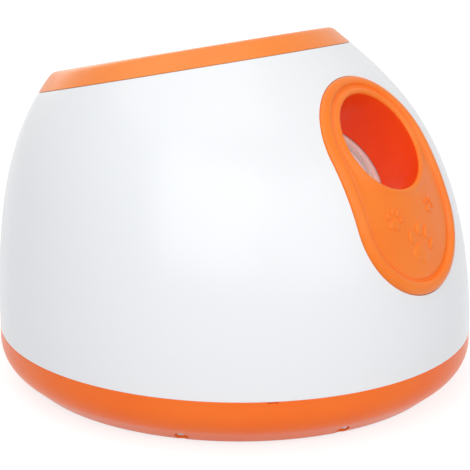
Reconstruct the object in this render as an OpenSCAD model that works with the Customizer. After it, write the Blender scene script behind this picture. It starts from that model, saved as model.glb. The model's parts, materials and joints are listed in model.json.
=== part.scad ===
// Automatic ball launcher for dogs: a domed housing with a funnel on top,
// a spring-driven piston in a slanted barrel, and a gear train that cocks it.
// Frame: +Z up, origin on the ground under the base's centre, balls leave towards -Y.

/* [Housing] */
// Radius of the housing at the seam
body_r = 150; // [145:1:160]
// Height of the seam between base and housing
seam_z = 32; // [30:1:36]
// Wall thickness of the moulded shells
wall = 2.8; // [2.4:0.1:3.2]
// Radius of the shell where its crown would close
crown_r = 65; // [60:1:70]
// Height of that crown
crown_z = 224; // [220:1:230]

/* [Hopper] */
// Angle of the hopper rim to the ground
rim_tilt = 12.64; // [8:0.01:14]
// Height of the rim plane on the housing's axis
rim_z = 208.2; // [204:0.1:212]
// Thickness of the coloured rim band
band_t = 11.2; // [9:0.1:13]
// Radius of the bowl's mouth
bowl_r = 84; // [80:0.5:85]

/* [Launcher] */
// Angle of the barrel to the ground
launch_angle = 41; // [38:0.5:43]
// Inner radius of the outlet tube
tube_r = 31; // [30.5:0.1:32]
// Depth of the resting piston's face behind the mouth
piston_rest = 35.5; // [35.5:0.1:37]
// Stroke of the piston
stroke = 60; // [50:1:62]
// Radius of the balls
ball_r = 25.4; // [25:0.1:26]

/* [Outlet panel] */
// Half the width of the capsule-shaped panel
panel_w = 46.9; // [45:0.1:48]
// Angle of the panel's normal to the ground
panel_tilt = 29; // [27:0.5:31]

/* [Base] */
// Height of the rubber feet under the base
foot_h = 2; // [1.5:0.1:2.5]
// Radius of the base's flat underside
floor_r = 134.5; // [132:0.5:136]
// Radius of one battery cell
cell_r = 13.1; // [12.5:0.1:13.2]

/* [Hidden] */

$fn = 64;

// Running and assembly clearances
gap = 0.3;
run = 0.05;
thread_r = 1.4;
pilot_r = 1.45;
screw_way_r = 1.7;
head_r = 3;

// Colours
shell_white = "#eef1f4";
band_orange = "#ff8a4c";
base_orange = "#ff6a3d";
inner_white = "#e6e7ea";
steel = "#b9bcc0";
gear_white = "#f2efe6";
dark = "#2c2e31";

// Dome: a stack of level circles. Their radius follows a cubic curve from the seam to
// the crown, and their centres lean backwards as they rise.
shoulder_z = seam_z + 0.6927 * (crown_z - seam_z);
brow_z = seam_z + 0.8177 * (crown_z - seam_z);
shoulder_r = body_r - 1;
brow_r = 0.68 * body_r;
lean_start = 5.3;
lean_rise = 15.8;
dome_levels = 10;
dome_sides = 64;

function cubic(a, b, c, d, t) =
    a * pow(1 - t, 3) + 3 * b * t * pow(1 - t, 2) + 3 * c * t * t * (1 - t) + d * pow(t, 3);
function dome_z(t) = cubic(seam_z, shoulder_z, brow_z, crown_z, t);
function dome_r(t) = cubic(body_r, shoulder_r, brow_r, crown_r, t);
function dome_t(z, low = 0, high = 1, steps = 20) =
    steps == 0 ? (low + high) / 2
    : dome_z((low + high) / 2) < z ? dome_t(z, (low + high) / 2, high, steps - 1)
    : dome_t(z, low, (low + high) / 2, steps - 1);
function lean(z) =
    let (h = (z - seam_z) / (crown_z - seam_z)) lean_start * h + lean_rise * h * h;
function back_y(z) = dome_r(dome_t(z)) + lean(z);

tongue_r = body_r - wall - 0.7;

// Rim frame: its Z is square to the rim plane, its Y runs down the slope to the back
bowl_y = 37.4;
flange_t = 2.6;
flange_bore_r = bowl_r + 3;
bowl_wall = 2.5;
bowl_drop = 15;
bowl_ledge = 1;
hopper_screw_angles = [35, 145, 215, 325];

// Barrel frame: X across, Y square to the barrel and up, depth s behind the mouth
mouth_y = -104.7;
mouth_z = 159.4;
tube_wall = 2.5;
tube_end = 31;
bore_r = tube_r - 1.5;
barrel_r = bore_r + 2.2;
barrel_start = tube_end + gap;
barrel_end = 165;
bumper_r = tube_r - 3;
bumper_l = piston_rest - barrel_start - 0.25;
barrel_ear_x = 36.5;
barrel_ear_s = [72, 140];
end_screw_angles = [210, 270, 330];

// Feed port and throat, square to the barrel
port_s = piston_rest + stroke - 29.5;
throat_r = ball_r + 2.6;
throat_wall = 2.5;
throat_low = 38.6;
throat_top = 54;
collar_r = throat_r + throat_wall + 3;
collar_top = 44;

// Piston
piston_r = bore_r - 0.3;
piston_l = 60;
piston_face = 4;
ring_s = piston_rest + 4;
ring_w = 2.4;
rack_rib_w = 12;

// Main spring, round the guide rod
spring_r = 11;
spring_wire = 1;
spring_turns = 11;
spring_front = piston_rest + piston_face + spring_wire + 0.2;
spring_back = barrel_end - spring_wire - 0.2;

// Gears
press_angle = 25;
rack_m = 1.5;
sector_teeth_full = 32;
sector_r = rack_m * sector_teeth_full / 2;
sector_turn = stroke / sector_r * 180 / PI;
sector_teeth = ceil(sector_turn * sector_teeth_full / 360) + 2;
rack_pitch = PI * rack_m;
rack_line = 26;
rack_w = 6;
rack_base = rack_line - 4.5;
rack_teeth = ceil(stroke / rack_pitch) + 2;
sector_s = 130;
sector_n = rack_line + sector_r;
rack_screw_s = [sector_s - 58, sector_s - 40];
drive_n = sector_n;

bull_m = 0.8;
bull_teeth = 42;
second_m = 0.7;
second_teeth = 42;
first_m = 0.6;
first_teeth = 40;
pinion_teeth = 12;
second_s = sector_s + bull_m * (bull_teeth + pinion_teeth) / 2;
first_s = second_s + second_m * (second_teeth + pinion_teeth) / 2;
motor_s = first_s + first_m * (first_teeth + pinion_teeth) / 2;
bull_x = 4.5;
bull_w = 5;
second_x = 10.5;
second_w = 3.5;
first_x = 15.5;
first_w = 3;
shaft_r = 3;
pin_r = 1.5;

// Gearbox plates
plate_x = 20.2;
plate_t = 3;
rail_x = 14.5;
rail_n = 36;
rail_low = 101;
rail_high = 156;
spacer_r = 3.2;
spacers = [[160, 74], [196, 68], [201, 37]];
rail_screws = [108, 150];
plate_screw_r = 1.2;
motor_r = 13.85;
motor_l = 38;
motor_screw_n = 8;

// Ball sensor, beside the throat
switch_n = 44.2;
switch_screw_x = -46;
switch_screw_s = [port_s - 1, port_s + 13];
lever_x = -37;
lever_s = port_s + 18;
lever_tip_x = -24.3;
lever_tip_s = port_s + 2;

// Outlet panel frame
panel_y = -113.7;
panel_z = 136.9;
panel_half = 67.4 - panel_w;
bead_h = 2.4;
bead_w = 7.4;
field_drop = 0.6;
panel_boss_x = 55;
panel_boss_v = 22;
panel_boss_end = -14;
panel_hole_top = -4.8;

// Base
base_arc_r = 20;
base_arc_z = 25;
base_arc_end = 48;
floor_top = foot_h + wall;
well_r = 137.5;
post_r = 4;
well_angles = [-63, -24, 24, 63, 136, -136];
well_top = 12.5;
well_depth = 9;
post_start = well_top + gap;
feet_at = [[77, -81], [-77, -81], [77, 81], [-77, 81]];
foot_r = 8;
notch_angle = 42.6;

// Battery bay
bay_x = 52.5;
bay_y = -76;
row_pitch = 2 * cell_r + 0.1;
bay_half_y = 1.5 * row_pitch + 0.05;
bay_top = floor_top + 2 * cell_r + 1;
bay_roof = bay_top + 2.4;
bay_wall = 3;
door_lip = 1.5;
cell_l = 49.1;
nub_l = 1.5;
door_screw_y = [bay_y - bay_half_y - 6.5, bay_y + bay_half_y + 8];
ear_r = 6;

// Cradle that carries the barrel
cradle_wall_x = 29;
cradle_front_y = -78;
cradle_back_y = -13.5;
cradle_step_y = bay_y + bay_half_y + bay_wall + gap;
cradle_low = bay_roof + 0.05;
cradle_post = 14;
cradle_feet = [[-62, -75, bay_roof], [62, -75, bay_roof],
    [-38, -9, cradle_post], [38, -9, cradle_post]];
cradle_foot_z = cradle_post + 0.05;

// Control panel at the back
ctrl_z = 80;
ctrl_w = 38;
ctrl_h = 18;
ctrl_lip = 3;
ctrl_depth = 5.8;
back_bulge = 0.3;
button_x = 20;
button_r = 8;
button_proud = 1.5;
guide_end = 138;
board_y = 128;
board_t = 1.6;
board_posts = [[-32, 67], [32, 67], [-32, 93], [32, 93]];
led_x = [-6, 0, 6];
ctrl_screw_angle = 17.3;
socket_z = 46;

// ---------- Shared shapes ----------

module dome(inset = 0, below = 0) {
    hull() {
        for (i = [0 : dome_levels]) {
            t = i / dome_levels;
            translate([0, lean(dome_z(t)), dome_z(t)])
                cylinder(h = 0.02, r = dome_r(t) - inset, $fn = dome_sides);
        }
        translate([0, 0, seam_z - below])
            cylinder(h = 0.02, r = body_r - inset, $fn = dome_sides);
    }
}

module rim_frame(h = 0) {
    translate([0, 0, rim_z])
        rotate([-rim_tilt, 0, 0])
            translate([0, bowl_y, h])
                children();
}

module above_rim(h) {
    rim_frame(h)
        translate([-200, -250, 0])
            cube([400, 500, 150]);
}

module below_rim(h) {
    rim_frame(h)
        translate([-200, -250, -300])
            cube([400, 500, 300]);
}

module barrel_frame(s = 0, n = 0, x = 0) {
    translate([0, mouth_y, mouth_z])
        rotate([90 - launch_angle, 0, 0])
            translate([x, n, -s])
                children();
}

function barrel_point(x, n, s) =
    [x, mouth_y + s * cos(launch_angle) + n * sin(launch_angle),
        mouth_z - s * sin(launch_angle) + n * cos(launch_angle)];

// A round bar along the barrel, from depth a back to depth b
module along(a, b, r, n = 0, x = 0) {
    barrel_frame(b, n, x)
        cylinder(h = b - a, r = r);
}

// A profile drawn in (depth, height) and thickened across, from x to x + w
module across(x, w, s = 0, n = 0) {
    barrel_frame(s, n, x)
        rotate([0, 90, 0])
            linear_extrude(w)
                children();
}

// A round bar square to the barrel, from height a up to height b
module upright(a, b, r, s, x = 0) {
    barrel_frame(s, a, x)
        rotate([-90, 0, 0])
            cylinder(h = b - a, r = r);
}

module barrel_box(x1, x2, n1, n2, s1, s2) {
    barrel_frame(s2, n1, x1)
        cube([x2 - x1, n2 - n1, s2 - s1]);
}

module panel_frame(h = 0) {
    translate([0, panel_y, panel_z])
        rotate([90 - panel_tilt, 0, 0])
            translate([0, 0, h])
                children();
}

module capsule_prism(half_w, low = -60, high = 60) {
    panel_frame(low)
        linear_extrude(high - low) {
            square([2 * half_w, 2 * panel_half], center = true);
            for (side = [-1, 1])
                translate([0, side * panel_half])
                    circle(r = half_w);
        }
}

module ctrl_prism(grow = 0) {
    translate([0, 200, ctrl_z])
        rotate([90, 0, 0])
            linear_extrude(90)
                rounded(2 * (ctrl_w + grow), 2 * (ctrl_h + grow), 8 + grow);
}

module rounded(w, h, r) {
    square([w - 2 * r, h], center = true);
    square([w, h - 2 * r], center = true);
    for (sx = [-1, 1], sy = [-1, 1])
        translate([sx * (w / 2 - r), sy * (h / 2 - r)])
            circle(r = r);
}

// A bar along -Y from y1 down to y2
module backwards(x, z, y1, y2, r) {
    translate([x, y1, z])
        rotate([90, 0, 0])
            cylinder(h = y1 - y2, r = r);
}

module at_well(angle) {
    rotate([0, 0, angle])
        translate([0, -well_r, 0])
            children();
}

module screw(head_h, length, r = thread_r, hr = head_r) {
    translate([0, 0, -head_h])
        cylinder(h = head_h, r = hr);
    cylinder(h = length, r = r);
}

// ---------- Gear teeth ----------

function inv(a) = tan(a) * 180 / PI - a;
function half_tooth(teeth, m, slack, r) =
    let (pitch = m * teeth / 2, base = pitch * cos(press_angle))
    90 / teeth + inv(press_angle) - (r > base ? inv(acos(base / r)) : 0)
        - slack / 2 / pitch * 180 / PI;
function tooth_radii(teeth, m) =
    let (pitch = m * teeth / 2, root = pitch - 1.2 * m, base = pitch * cos(press_angle),
        low = max(root, base), top = pitch + 0.92 * m)
    concat(root < base ? [root] : [], [low, (low + pitch) / 2, pitch, (pitch + top) / 2, top]);
function tooth(teeth, m, slack, angle) =
    let (radii = tooth_radii(teeth, m), count = len(radii))
    concat(
        [for (i = [0 : count - 1]) let (h = half_tooth(teeth, m, slack, radii[i]))
            radii[i] * [cos(angle - h), sin(angle - h)]],
        [for (i = [count - 1 : -1 : 0]) let (h = half_tooth(teeth, m, slack, radii[i]))
            radii[i] * [cos(angle + h), sin(angle + h)]]);
function gear_outline(teeth, m, slack, phase) =
    [for (k = [0 : teeth - 1]) each tooth(teeth, m, slack, phase + k * 360 / teeth)];

module gear(teeth, m, width, phase, bore, slack = 0.1) {
    linear_extrude(width)
        difference() {
            polygon(gear_outline(teeth, m, slack, phase));
            circle(r = bore / cos(15), $fn = 12);
        }
}

module gear_at(s, x, teeth, m, width, phase, bore) {
    barrel_frame(s, drive_n, x)
        rotate([0, 90, 0])
            gear(teeth, m, width, phase, bore);
}

// ---------- Tubes along a path ----------

function ring_at(p, tangent, r, sides) =
    let (t = tangent / norm(tangent), ref = abs(t[2]) < 0.9 ? [0, 0, 1] : [0, 1, 0],
        u = cross(t, ref) / norm(cross(t, ref)), v = cross(t, u))
    [for (k = [0 : sides - 1])
        p + r * (cos(k * 360 / sides) * u + sin(k * 360 / sides) * v)];

module tube_along(path, r, sides = 8) {
    last = len(path) - 1;
    rings = [for (i = [0 : last])
        ring_at(path[i], path[min(i + 1, last)] - path[max(i - 1, 0)], r, sides)];
    points = [for (ring = rings) each ring];
    skin = [for (i = [0 : last - 1], k = [0 : sides - 1])
        let (a = i * sides + k, b = i * sides + (k + 1) % sides)
        each [[a, b, b + sides], [a, b + sides, a + sides]]];
    first_end = [for (k = [sides - 1 : -1 : 0]) k];
    last_end = [for (k = [0 : sides - 1]) last * sides + k];
    polyhedron(points, concat(skin, [first_end, last_end]), convexity = 10);
}

function smooth_at(p, i, t) =
    let (last = len(p) - 1, a = p[max(i - 1, 0)], b = p[i], c = p[i + 1],
        d = p[min(i + 2, last)])
    0.5 * (2 * b + (c - a) * t + (2 * a - 5 * b + 4 * c - d) * t * t
        + (3 * b - a - 3 * c + d) * t * t * t);
function smooth_path(p, steps = 5) =
    concat([for (i = [0 : len(p) - 2], k = [0 : steps - 1]) smooth_at(p, i, k / steps)],
        [p[len(p) - 1]]);

// ---------- Shells ----------

module main_housing() {
    color(shell_white)
        difference() {
            union() {
                difference() {
                    dome();
                    above_rim(-band_t);
                    intersection() {
                        dome(wall, 1);
                        below_rim(-band_t - flange_t);
                    }
                }
                seam_tongue();
                for (a = well_angles)
                    housing_post(a);
                intersection() {
                    dome(1);
                    housing_bosses();
                }
            }
            rim_frame(-band_t - 20)
                cylinder(h = 40, r = flange_bore_r);
            capsule_prism(panel_w + gap);
            ctrl_prism(gap);
            backwards(0, socket_z, 170, 130, 5.6);
            for (a = hopper_screw_angles)
                at_rim_screw(a, -band_t - 10)
                    cylinder(h = 20, r = screw_way_r);
            for (a = well_angles)
                at_well(a)
                    translate([0, 0, post_start - 1])
                        cylinder(h = 18, r = pilot_r);
            panel_boss_holes(pilot_r);
            for (side = [-1, 1])
                ctrl_screw_bar(side, 141, 148.2, pilot_r);
        }
}

module seam_tongue() {
    difference() {
        union() {
            translate([0, 0, seam_z - 5])
                cylinder(h = 6.5, r = tongue_r);
            translate([0, 0, seam_z + 0.6])
                cylinder(h = 3.5, r = body_r - wall + 0.8);
        }
        translate([0, 0, seam_z - 6])
            cylinder(h = 12, r = tongue_r - 1.8);
    }
}

module housing_post(angle) {
    at_well(angle) {
        translate([0, 0, post_start])
            cylinder(h = 46, r = post_r);
        translate([-1.5, -9.8, seam_z + 2])
            cube([3, 8, 28]);
    }
}

module housing_bosses() {
    for (sx = [-1, 1], sv = [-1, 1])
        panel_boss(sx, sv, panel_boss_end, 20, 4);
    for (side = [-1, 1])
        difference() {
            ctrl_screw_bar(side, 143.6, 152, 3.4);
            back_wall(ctrl_depth + 0.1);
        }
}

module panel_boss(sx, sv, low, high, r) {
    panel_frame(low)
        translate([sx * panel_boss_x, sv * panel_boss_v, 0])
            cylinder(h = high - low, r = r);
}

module panel_boss_holes(r) {
    for (sx = [-1, 1], sv = [-1, 1])
        panel_boss(sx, sv, panel_boss_end - 5, panel_hole_top, r);
}

module ctrl_screw_bar(side, inner, outer, r) {
    rotate([0, 0, -side * ctrl_screw_angle])
        translate([0, inner, ctrl_z])
            rotate([-90, 0, 0])
                cylinder(h = outer - inner, r = r);
}

module base_profile(inset) {
    arc = base_arc_r - inset;
    low = foot_h + inset;
    polygon(concat(
        [[0, low], [floor_r - inset * 0.9, low]],
        [for (a = [base_arc_end : -4 : 0])
            [body_r - base_arc_r + arc * cos(a), base_arc_z - arc * sin(a)]],
        [[body_r - inset, seam_z + (inset > 0 ? 1 : 0)],
         [0, seam_z + (inset > 0 ? 1 : 0)]]));
}

module base_tray() {
    color(base_orange)
        difference() {
            rotate_extrude($fn = 180)
                base_profile(0);
            difference() {
                rotate_extrude($fn = 180)
                    base_profile(wall);
                for (a = well_angles)
                    at_well(a)
                        cylinder(h = well_top, r = 6.2);
                bay_block(bay_wall, 0);
                for (y = door_screw_y)
                    translate([0, y, 0])
                        cylinder(h = 15, r = 8.2);
                for (p = cradle_feet)
                    translate([p[0], p[1], 0])
                        cylinder(h = p[2], r = 4);
            }
            base_openings();
        }
}

module bay_block(grow, shift) {
    translate([-bay_x - grow, bay_y - bay_half_y - grow, 0])
        cube([2 * (bay_x + grow), 2 * (bay_half_y + grow), bay_roof + shift]);
}

module door_outline(grow) {
    square([2 * (bay_x + door_lip + grow), 2 * (bay_half_y + door_lip + grow)], center = true);
    for (y = door_screw_y)
        translate([0, y - bay_y]) {
            circle(r = ear_r + grow);
            translate([0, y < bay_y ? 4 : -4])
                square([2 * (ear_r + grow), 8], center = true);
        }
}

module base_openings() {
    // room for the cells, then the recess that takes the door
    translate([-bay_x, bay_y - bay_half_y, 0])
        cube([2 * bay_x, 2 * bay_half_y, bay_top]);
    translate([0, bay_y, 0])
        linear_extrude(floor_top)
            door_outline(0);
    for (y = door_screw_y)
        translate([0, y, 0])
            cylinder(h = 13.5, r = pilot_r);
    for (a = well_angles)
        at_well(a) {
            cylinder(h = well_depth, r = 4);
            cylinder(h = well_top + 1, r = screw_way_r);
        }
    for (p = feet_at)
        translate([p[0], p[1], 0])
            cylinder(h = foot_h + 1.2, r = foot_r + 0.15);
    for (p = cradle_feet)
        translate([p[0], p[1], p[2] - 7])
            cylinder(h = 8, r = pilot_r);
    for (side = [-1, 1])
        rotate([0, 0, side * notch_angle])
            translate([-3, -body_r - 1, seam_z - 0.9])
                cube([6, 2.4, 2]);
    // way for the battery leads out of the bay
    translate([38, bay_y + bay_half_y - 1, bay_top - 6])
        cube([6, 8, 4]);
}

module at_rim_screw(angle, h) {
    rim_frame(h)
        rotate([0, 0, angle])
            translate([bowl_r + 5.2, 0, 0])
                children();
}

module hopper_funnel() {
    color(band_orange)
        difference() {
            union() {
                difference() {
                    dome();
                    above_rim(0);
                    below_rim(-band_t);
                    difference() {
                        intersection() {
                            dome(wall);
                            below_rim(-wall);
                        }
                        rim_frame(-band_t - 5)
                            cylinder(h = band_t + 5, r = bowl_r + bowl_wall);
                        for (a = hopper_screw_angles)
                            at_rim_screw(a, -band_t - 5)
                                cylinder(h = band_t + 5, r = 3.2);
                    }
                }
                bowl_skin(bowl_wall, 0);
                barrel_throat(throat_r + throat_wall, throat_low);
            }
            bowl_skin(0, 0.5);
            rim_frame(-bowl_drop - 0.01)
                cylinder(h = bowl_drop + 5, r = bowl_r);
            barrel_throat(throat_r, throat_low - 1);
            // slot for the ball sensor's lever
            barrel_box(-34, -20, 45, 51.2, port_s - 4, port_s + 15);
            for (a = hopper_screw_angles)
                at_rim_screw(a, -band_t - 1)
                    cylinder(h = 9, r = pilot_r);
        }
}

// The leaning cone of the bowl, from its rim to the throat
module bowl_skin(grow, extra) {
    hull() {
        rim_frame(-bowl_drop)
            cylinder(h = 0.02 + extra, r = bowl_r - bowl_ledge + grow);
        upright(throat_top, throat_top + 0.02, throat_r + 0.6 + grow, port_s);
    }
    if (grow > 0)
        rim_frame(-bowl_drop)
            cylinder(h = bowl_drop - band_t + 2, r = bowl_r + grow);
}

module barrel_throat(r, low) {
    upright(low, throat_top + 0.01, r, port_s);
}

module outlet_bezel() {
    color(band_orange)
        difference() {
            union() {
                // bead and field in the housing's cut-out, with a lip behind the wall
                difference() {
                    intersection() {
                        dome(-bead_h);
                        capsule_prism(panel_w);
                    }
                    dome(5.4);
                    difference() {
                        capsule_prism(panel_w - bead_w);
                        dome(field_drop);
                    }
                }
                difference() {
                    intersection() {
                        dome(3.1);
                        capsule_prism(panel_w + 3.6);
                    }
                    dome(5.4);
                }
                intersection() {
                    dome(1.5);
                    union() {
                        along(-20, tube_end, tube_r + tube_wall);
                        for (sx = [-1, 1], sv = [-1, 1])
                            bezel_ear(sx, sv);
                    }
                }
            }
            along(-40, tube_end + 1, tube_r);
            for (sx = [-1, 1], sv = [-1, 1])
                panel_boss(sx, sv, panel_boss_end - 6, panel_boss_end + 1, screw_way_r);
        }
}

module bezel_ear(sx, sv) {
    ear_low = panel_boss_end - 2.7;
    panel_frame(ear_low)
        translate([0, sv * panel_boss_v - 5, 0]) {
            translate([sx > 0 ? 42.5 : -60, 0, 0])
                cube([17.5, 10, 2.5]);
            translate([sx > 0 ? 42.5 : -46.5, 0, 0])
                cube([4, 10, 20]);
        }
}

// ---------- Barrel and its supports ----------

module launch_barrel() {
    color(inner_white)
        difference() {
            union() {
                along(barrel_start, barrel_end, barrel_r);
                along(barrel_start, barrel_start + 3, tube_r + 5.5);
                along(tube_end - 4, barrel_start + 1, tube_r + 5.5);
                upright(16, collar_top, collar_r, port_s);
                for (side = [-1, 1]) {
                    barrel_box(min(side * rail_x, side * 20), max(side * rail_x, side * 20),
                        22, rail_n, rail_low, rail_high);
                    for (s = barrel_ear_s)
                        barrel_box(side > 0 ? 26 : -41, side > 0 ? 41 : -26,
                            -14, -10, s - 5, s + 5);
                }
                barrel_box(-51, -20, 40.5, collar_top, port_s - 8, port_s + 22);
                for (a = end_screw_angles)
                    at_end_screw(a, barrel_end, 5, 4.5);
            }
            along(tube_end - 5, barrel_start + 0.01, tube_r + tube_wall + 0.2);
            along(barrel_start - 1, piston_rest - 0.1, tube_r + 0.1);
            along(barrel_start, barrel_end + 1, bore_r);
            upright(8, collar_top + 1, throat_r, port_s);
            upright(throat_low - gap, collar_top + 1, throat_r + throat_wall + 0.4, port_s);
            // slot for the sector gear
            barrel_box(-4, 4, 20, 40, sector_s - 19, sector_s + 19);
            for (side = [-1, 1]) {
                for (s = rail_screws)
                    across(side > 0 ? rail_x - 1 : -20.5, 6.5, s, 33)
                        circle(r = plate_screw_r + run);
                for (s = barrel_ear_s)
                    upright(-16, -8, screw_way_r, s, side * barrel_ear_x);
            }
            for (a = end_screw_angles)
                at_end_screw(a, barrel_end + 1, 8, pilot_r);
            for (s = switch_screw_s)
                upright(39, 46, 1.05, s, switch_screw_x);
        }
}

module at_end_screw(angle, s, length, r) {
    barrel_frame(s)
        rotate([0, 0, angle])
            translate([barrel_r + 3, 0, 0])
                cylinder(h = length, r = r);
}

module barrel_bumper() {
    color("#f4f2ee")
        difference() {
            along(barrel_start + run, barrel_start + bumper_l, tube_r);
            along(barrel_start - 1, piston_rest, bumper_r);
        }
}

module barrel_end_cap() {
    color(inner_white)
        difference() {
            union() {
                along(barrel_end + 0.05, barrel_end + 6, barrel_r);
                for (a = end_screw_angles)
                    at_end_screw(a, barrel_end + 6, 5.95, 4.5);
            }
            barrel_box(-4.2, 4.2, 20.6, 50, barrel_end - 1, barrel_end + 8);
            along(barrel_end - 1, barrel_end + 8, 4 + run);
            for (a = end_screw_angles)
                at_end_screw(a, barrel_end + 7, 8, screw_way_r);
        }
}

module spring_guide_rod() {
    color(steel) {
        along(sector_s - 27, barrel_end, 8.2);
        along(barrel_end - 0.01, barrel_end + 6.05, 4);
        along(barrel_end + 6.05, barrel_end + 8, 6.5);
    }
}

module main_spring() {
    steps = spring_turns * 8;
    path = [for (i = [0 : steps])
        let (a = i * 45, s = spring_front + (spring_back - spring_front) * i / steps)
        barrel_point(spring_r * cos(a), spring_r * sin(a), s)];
    color(steel)
        tube_along(path, spring_wire);
}

module barrel_cradle() {
    color(inner_white)
        difference() {
            union() {
                for (side = [-1, 1])
                    translate([side * (cradle_wall_x + 1.5) - 1.5, 0, 0])
                        rotate([90, 0, 90])
                            linear_extrude(3)
                                polygon([[cradle_front_y, cradle_low], [cradle_step_y, cradle_low],
                                    [cradle_step_y, cradle_foot_z], [cradle_back_y + 3, cradle_foot_z],
                                    [cradle_back_y + 3, 58], [cradle_front_y, 118]]);
                cradle_rib(cradle_front_y, cradle_low, 118);
                cradle_rib(cradle_back_y, cradle_foot_z, 58);
                for (side = [-1, 1]) {
                    translate([side > 0 ? cradle_wall_x : -67, -82, cradle_low])
                        cube([67 - cradle_wall_x, 14, 3]);
                    translate([side > 0 ? cradle_wall_x : -43, -15, cradle_foot_z])
                        cube([43 - cradle_wall_x, 12, 3]);
                    for (s = barrel_ear_s)
                        barrel_box(side > 0 ? cradle_wall_x : -41, side > 0 ? 41 : -cradle_wall_x,
                            -18.2, -14.05, s - 5, s + 5);
                }
            }
            along(barrel_start - 20, barrel_end + 20, barrel_r + 0.15);
            barrel_box(-60, 60, -14.05, 40, 0, 200);
            for (p = cradle_feet)
                translate([p[0], p[1], p[2] - 1])
                    cylinder(h = 6, r = screw_way_r);
            for (side = [-1, 1], s = barrel_ear_s)
                upright(-20, -12, pilot_r, s, side * barrel_ear_x);
        }
}

module cradle_rib(y, low, high) {
    translate([-cradle_wall_x, y, low])
        cube([2 * cradle_wall_x, 3, high - low]);
}

// ---------- Piston ----------

module piston() {
    back = piston_rest + piston_l;
    color("#f2f2f2")
        difference() {
            union() {
                difference() {
                    along(piston_rest, back, piston_r);
                    along(piston_rest + piston_face, ring_s + 5, piston_r - 4.7);
                    along(ring_s + 5 - 0.01, back + 1, piston_r - 2.2);
                }
                intersection() {
                    along(piston_rest + 2, back, piston_r - 1);
                    barrel_box(-rack_rib_w / 2, rack_rib_w / 2, 17.5, 40, sector_s - 82, back);
                }
            }
            barrel_box(-rack_w / 2 - run, rack_w / 2 + run, rack_base, 40,
                sector_s - 64.6, back + 1);
            // room for the sector's teeth ahead of the rack
            barrel_box(-rack_w / 2 - 0.4, rack_w / 2 + 0.4, rack_line - 2.2, 40,
                sector_s - stroke - 17.5, back + 1);
            for (s = rack_screw_s)
                upright(14, 22, 1.05, s);
            ring_groove(piston_r - 1.7, piston_r + 1, ring_s, ring_w);
        }
}

module ring_groove(inner, outer, s, w) {
    barrel_frame(s + w)
        difference() {
            cylinder(h = w, r = outer);
            translate([0, 0, -1])
                cylinder(h = w + 2, r = inner);
        }
}

module piston_ring() {
    color(dark)
        ring_groove(piston_r - 1.6, piston_r + 0.15, ring_s + run, ring_w - 2 * run);
}

module piston_rack() {
    start = sector_s - 64.5;
    end = sector_s + 7.5;
    low = rack_line - 1.2 * rack_m;
    high = rack_line + 0.92 * rack_m;
    slope = tan(press_angle);
    half = rack_pitch / 4 - 0.08;
    teeth = [for (k = [-rack_teeth + 2 : 1]) let (c = sector_s + k * rack_pitch)
        each [[c - half - (rack_line - low) * slope, low],
            [c - half + (high - rack_line) * slope, high],
            [c + half - (high - rack_line) * slope, high],
            [c + half + (rack_line - low) * slope, low]]];
    color(gear_white)
        difference() {
            across(-rack_w / 2, rack_w)
                polygon(concat([[start, rack_base], [start, low]], teeth,
                    [[end, low], [end, rack_base]]));
            for (s = rack_screw_s)
                upright(rack_base - 1, rack_base + 2.2, 0.95, s);
        }
}

module rack_screws() {
    color(steel)
        for (s = rack_screw_s)
            barrel_frame(s, 17.4)
                rotate([-90, 0, 0])
                    screw(1.8, 6, 0.9, 2);
}

// ---------- Gear train ----------

module sector_gear() {
    step = 360 / sector_teeth_full;
    first = -90 + step / 2;
    last = first - (sector_teeth - 1) * step;
    hub = 9;
    outline = concat(
        [for (k = [sector_teeth - 1 : -1 : 0])
            each tooth(sector_teeth_full, rack_m, 0.16, first - k * step)],
        [for (a = [first + step : 20 : last + 360 - 8]) hub * [cos(a), sin(a)]]);
    color(gear_white)
        barrel_frame(sector_s, sector_n, -rack_w / 2)
            rotate([0, 90, 0])
                linear_extrude(rack_w)
                    difference() {
                        polygon(outline);
                        circle(r = (shaft_r + 0.02) / cos(15), $fn = 12);
                    }
}

module bull_gear() {
    color(gear_white)
        gear_at(sector_s, bull_x, bull_teeth, bull_m, bull_w, 180 / bull_teeth, shaft_r + 0.02);
}

module drive_shaft() {
    color(steel)
        across(-plate_x - plate_t - 1, 2 * (plate_x + plate_t + 1), sector_s, sector_n)
            circle(r = shaft_r);
}

module second_gear() {
    color(gear_white) {
        gear_at(second_s, bull_x - 0.2, pinion_teeth, bull_m,
            second_x - bull_x + 0.2, 0, pin_r + run);
        gear_at(second_s, second_x, second_teeth, second_m, second_w,
            180 / second_teeth, pin_r + run);
    }
}

module second_gear_pin() {
    color(steel) {
        across(bull_x - 1, plate_x + plate_t - bull_x + 1, second_s, drive_n)
            circle(r = pin_r);
        across(second_x + second_w + 0.3, 1, second_s, drive_n)
            circle(r = 3);
    }
}

module first_gear() {
    color(gear_white) {
        gear_at(first_s, second_x - 0.2, pinion_teeth, second_m,
            first_x - second_x + 0.2, 0, pin_r + 0.01);
        gear_at(first_s, first_x, first_teeth, first_m, first_w,
            180 / first_teeth, pin_r + 0.01);
    }
}

module first_gear_shaft() {
    color(steel)
        across(-plate_x - plate_t - 0.5, 2 * (plate_x + plate_t) + 1, first_s, drive_n)
            circle(r = pin_r);
}

module motor_pinion() {
    color(gear_white)
        gear_at(motor_s, first_x - 0.7, pinion_teeth, first_m, first_w + 1.2, 0, 0.99);
    color(steel)
        across(first_x - 0.9, plate_x + plate_t + 3.5 - first_x, motor_s, drive_n)
            circle(r = 1);
}

module drive_motor() {
    x = plate_x + plate_t;
    color(steel)
        difference() {
            union() {
                across(x, motor_l, motor_s, drive_n)
                    circle(r = motor_r);
                across(x + motor_l - 0.01, 2.5, motor_s, drive_n)
                    circle(r = 5);
            }
            across(x - 1, 6, motor_s, drive_n)
                circle(r = 1 + run);
            for (side = [-1, 1])
                across(x - 1, 6, motor_s, drive_n + side * motor_screw_n)
                    circle(r = plate_screw_r + run);
        }
}

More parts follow.
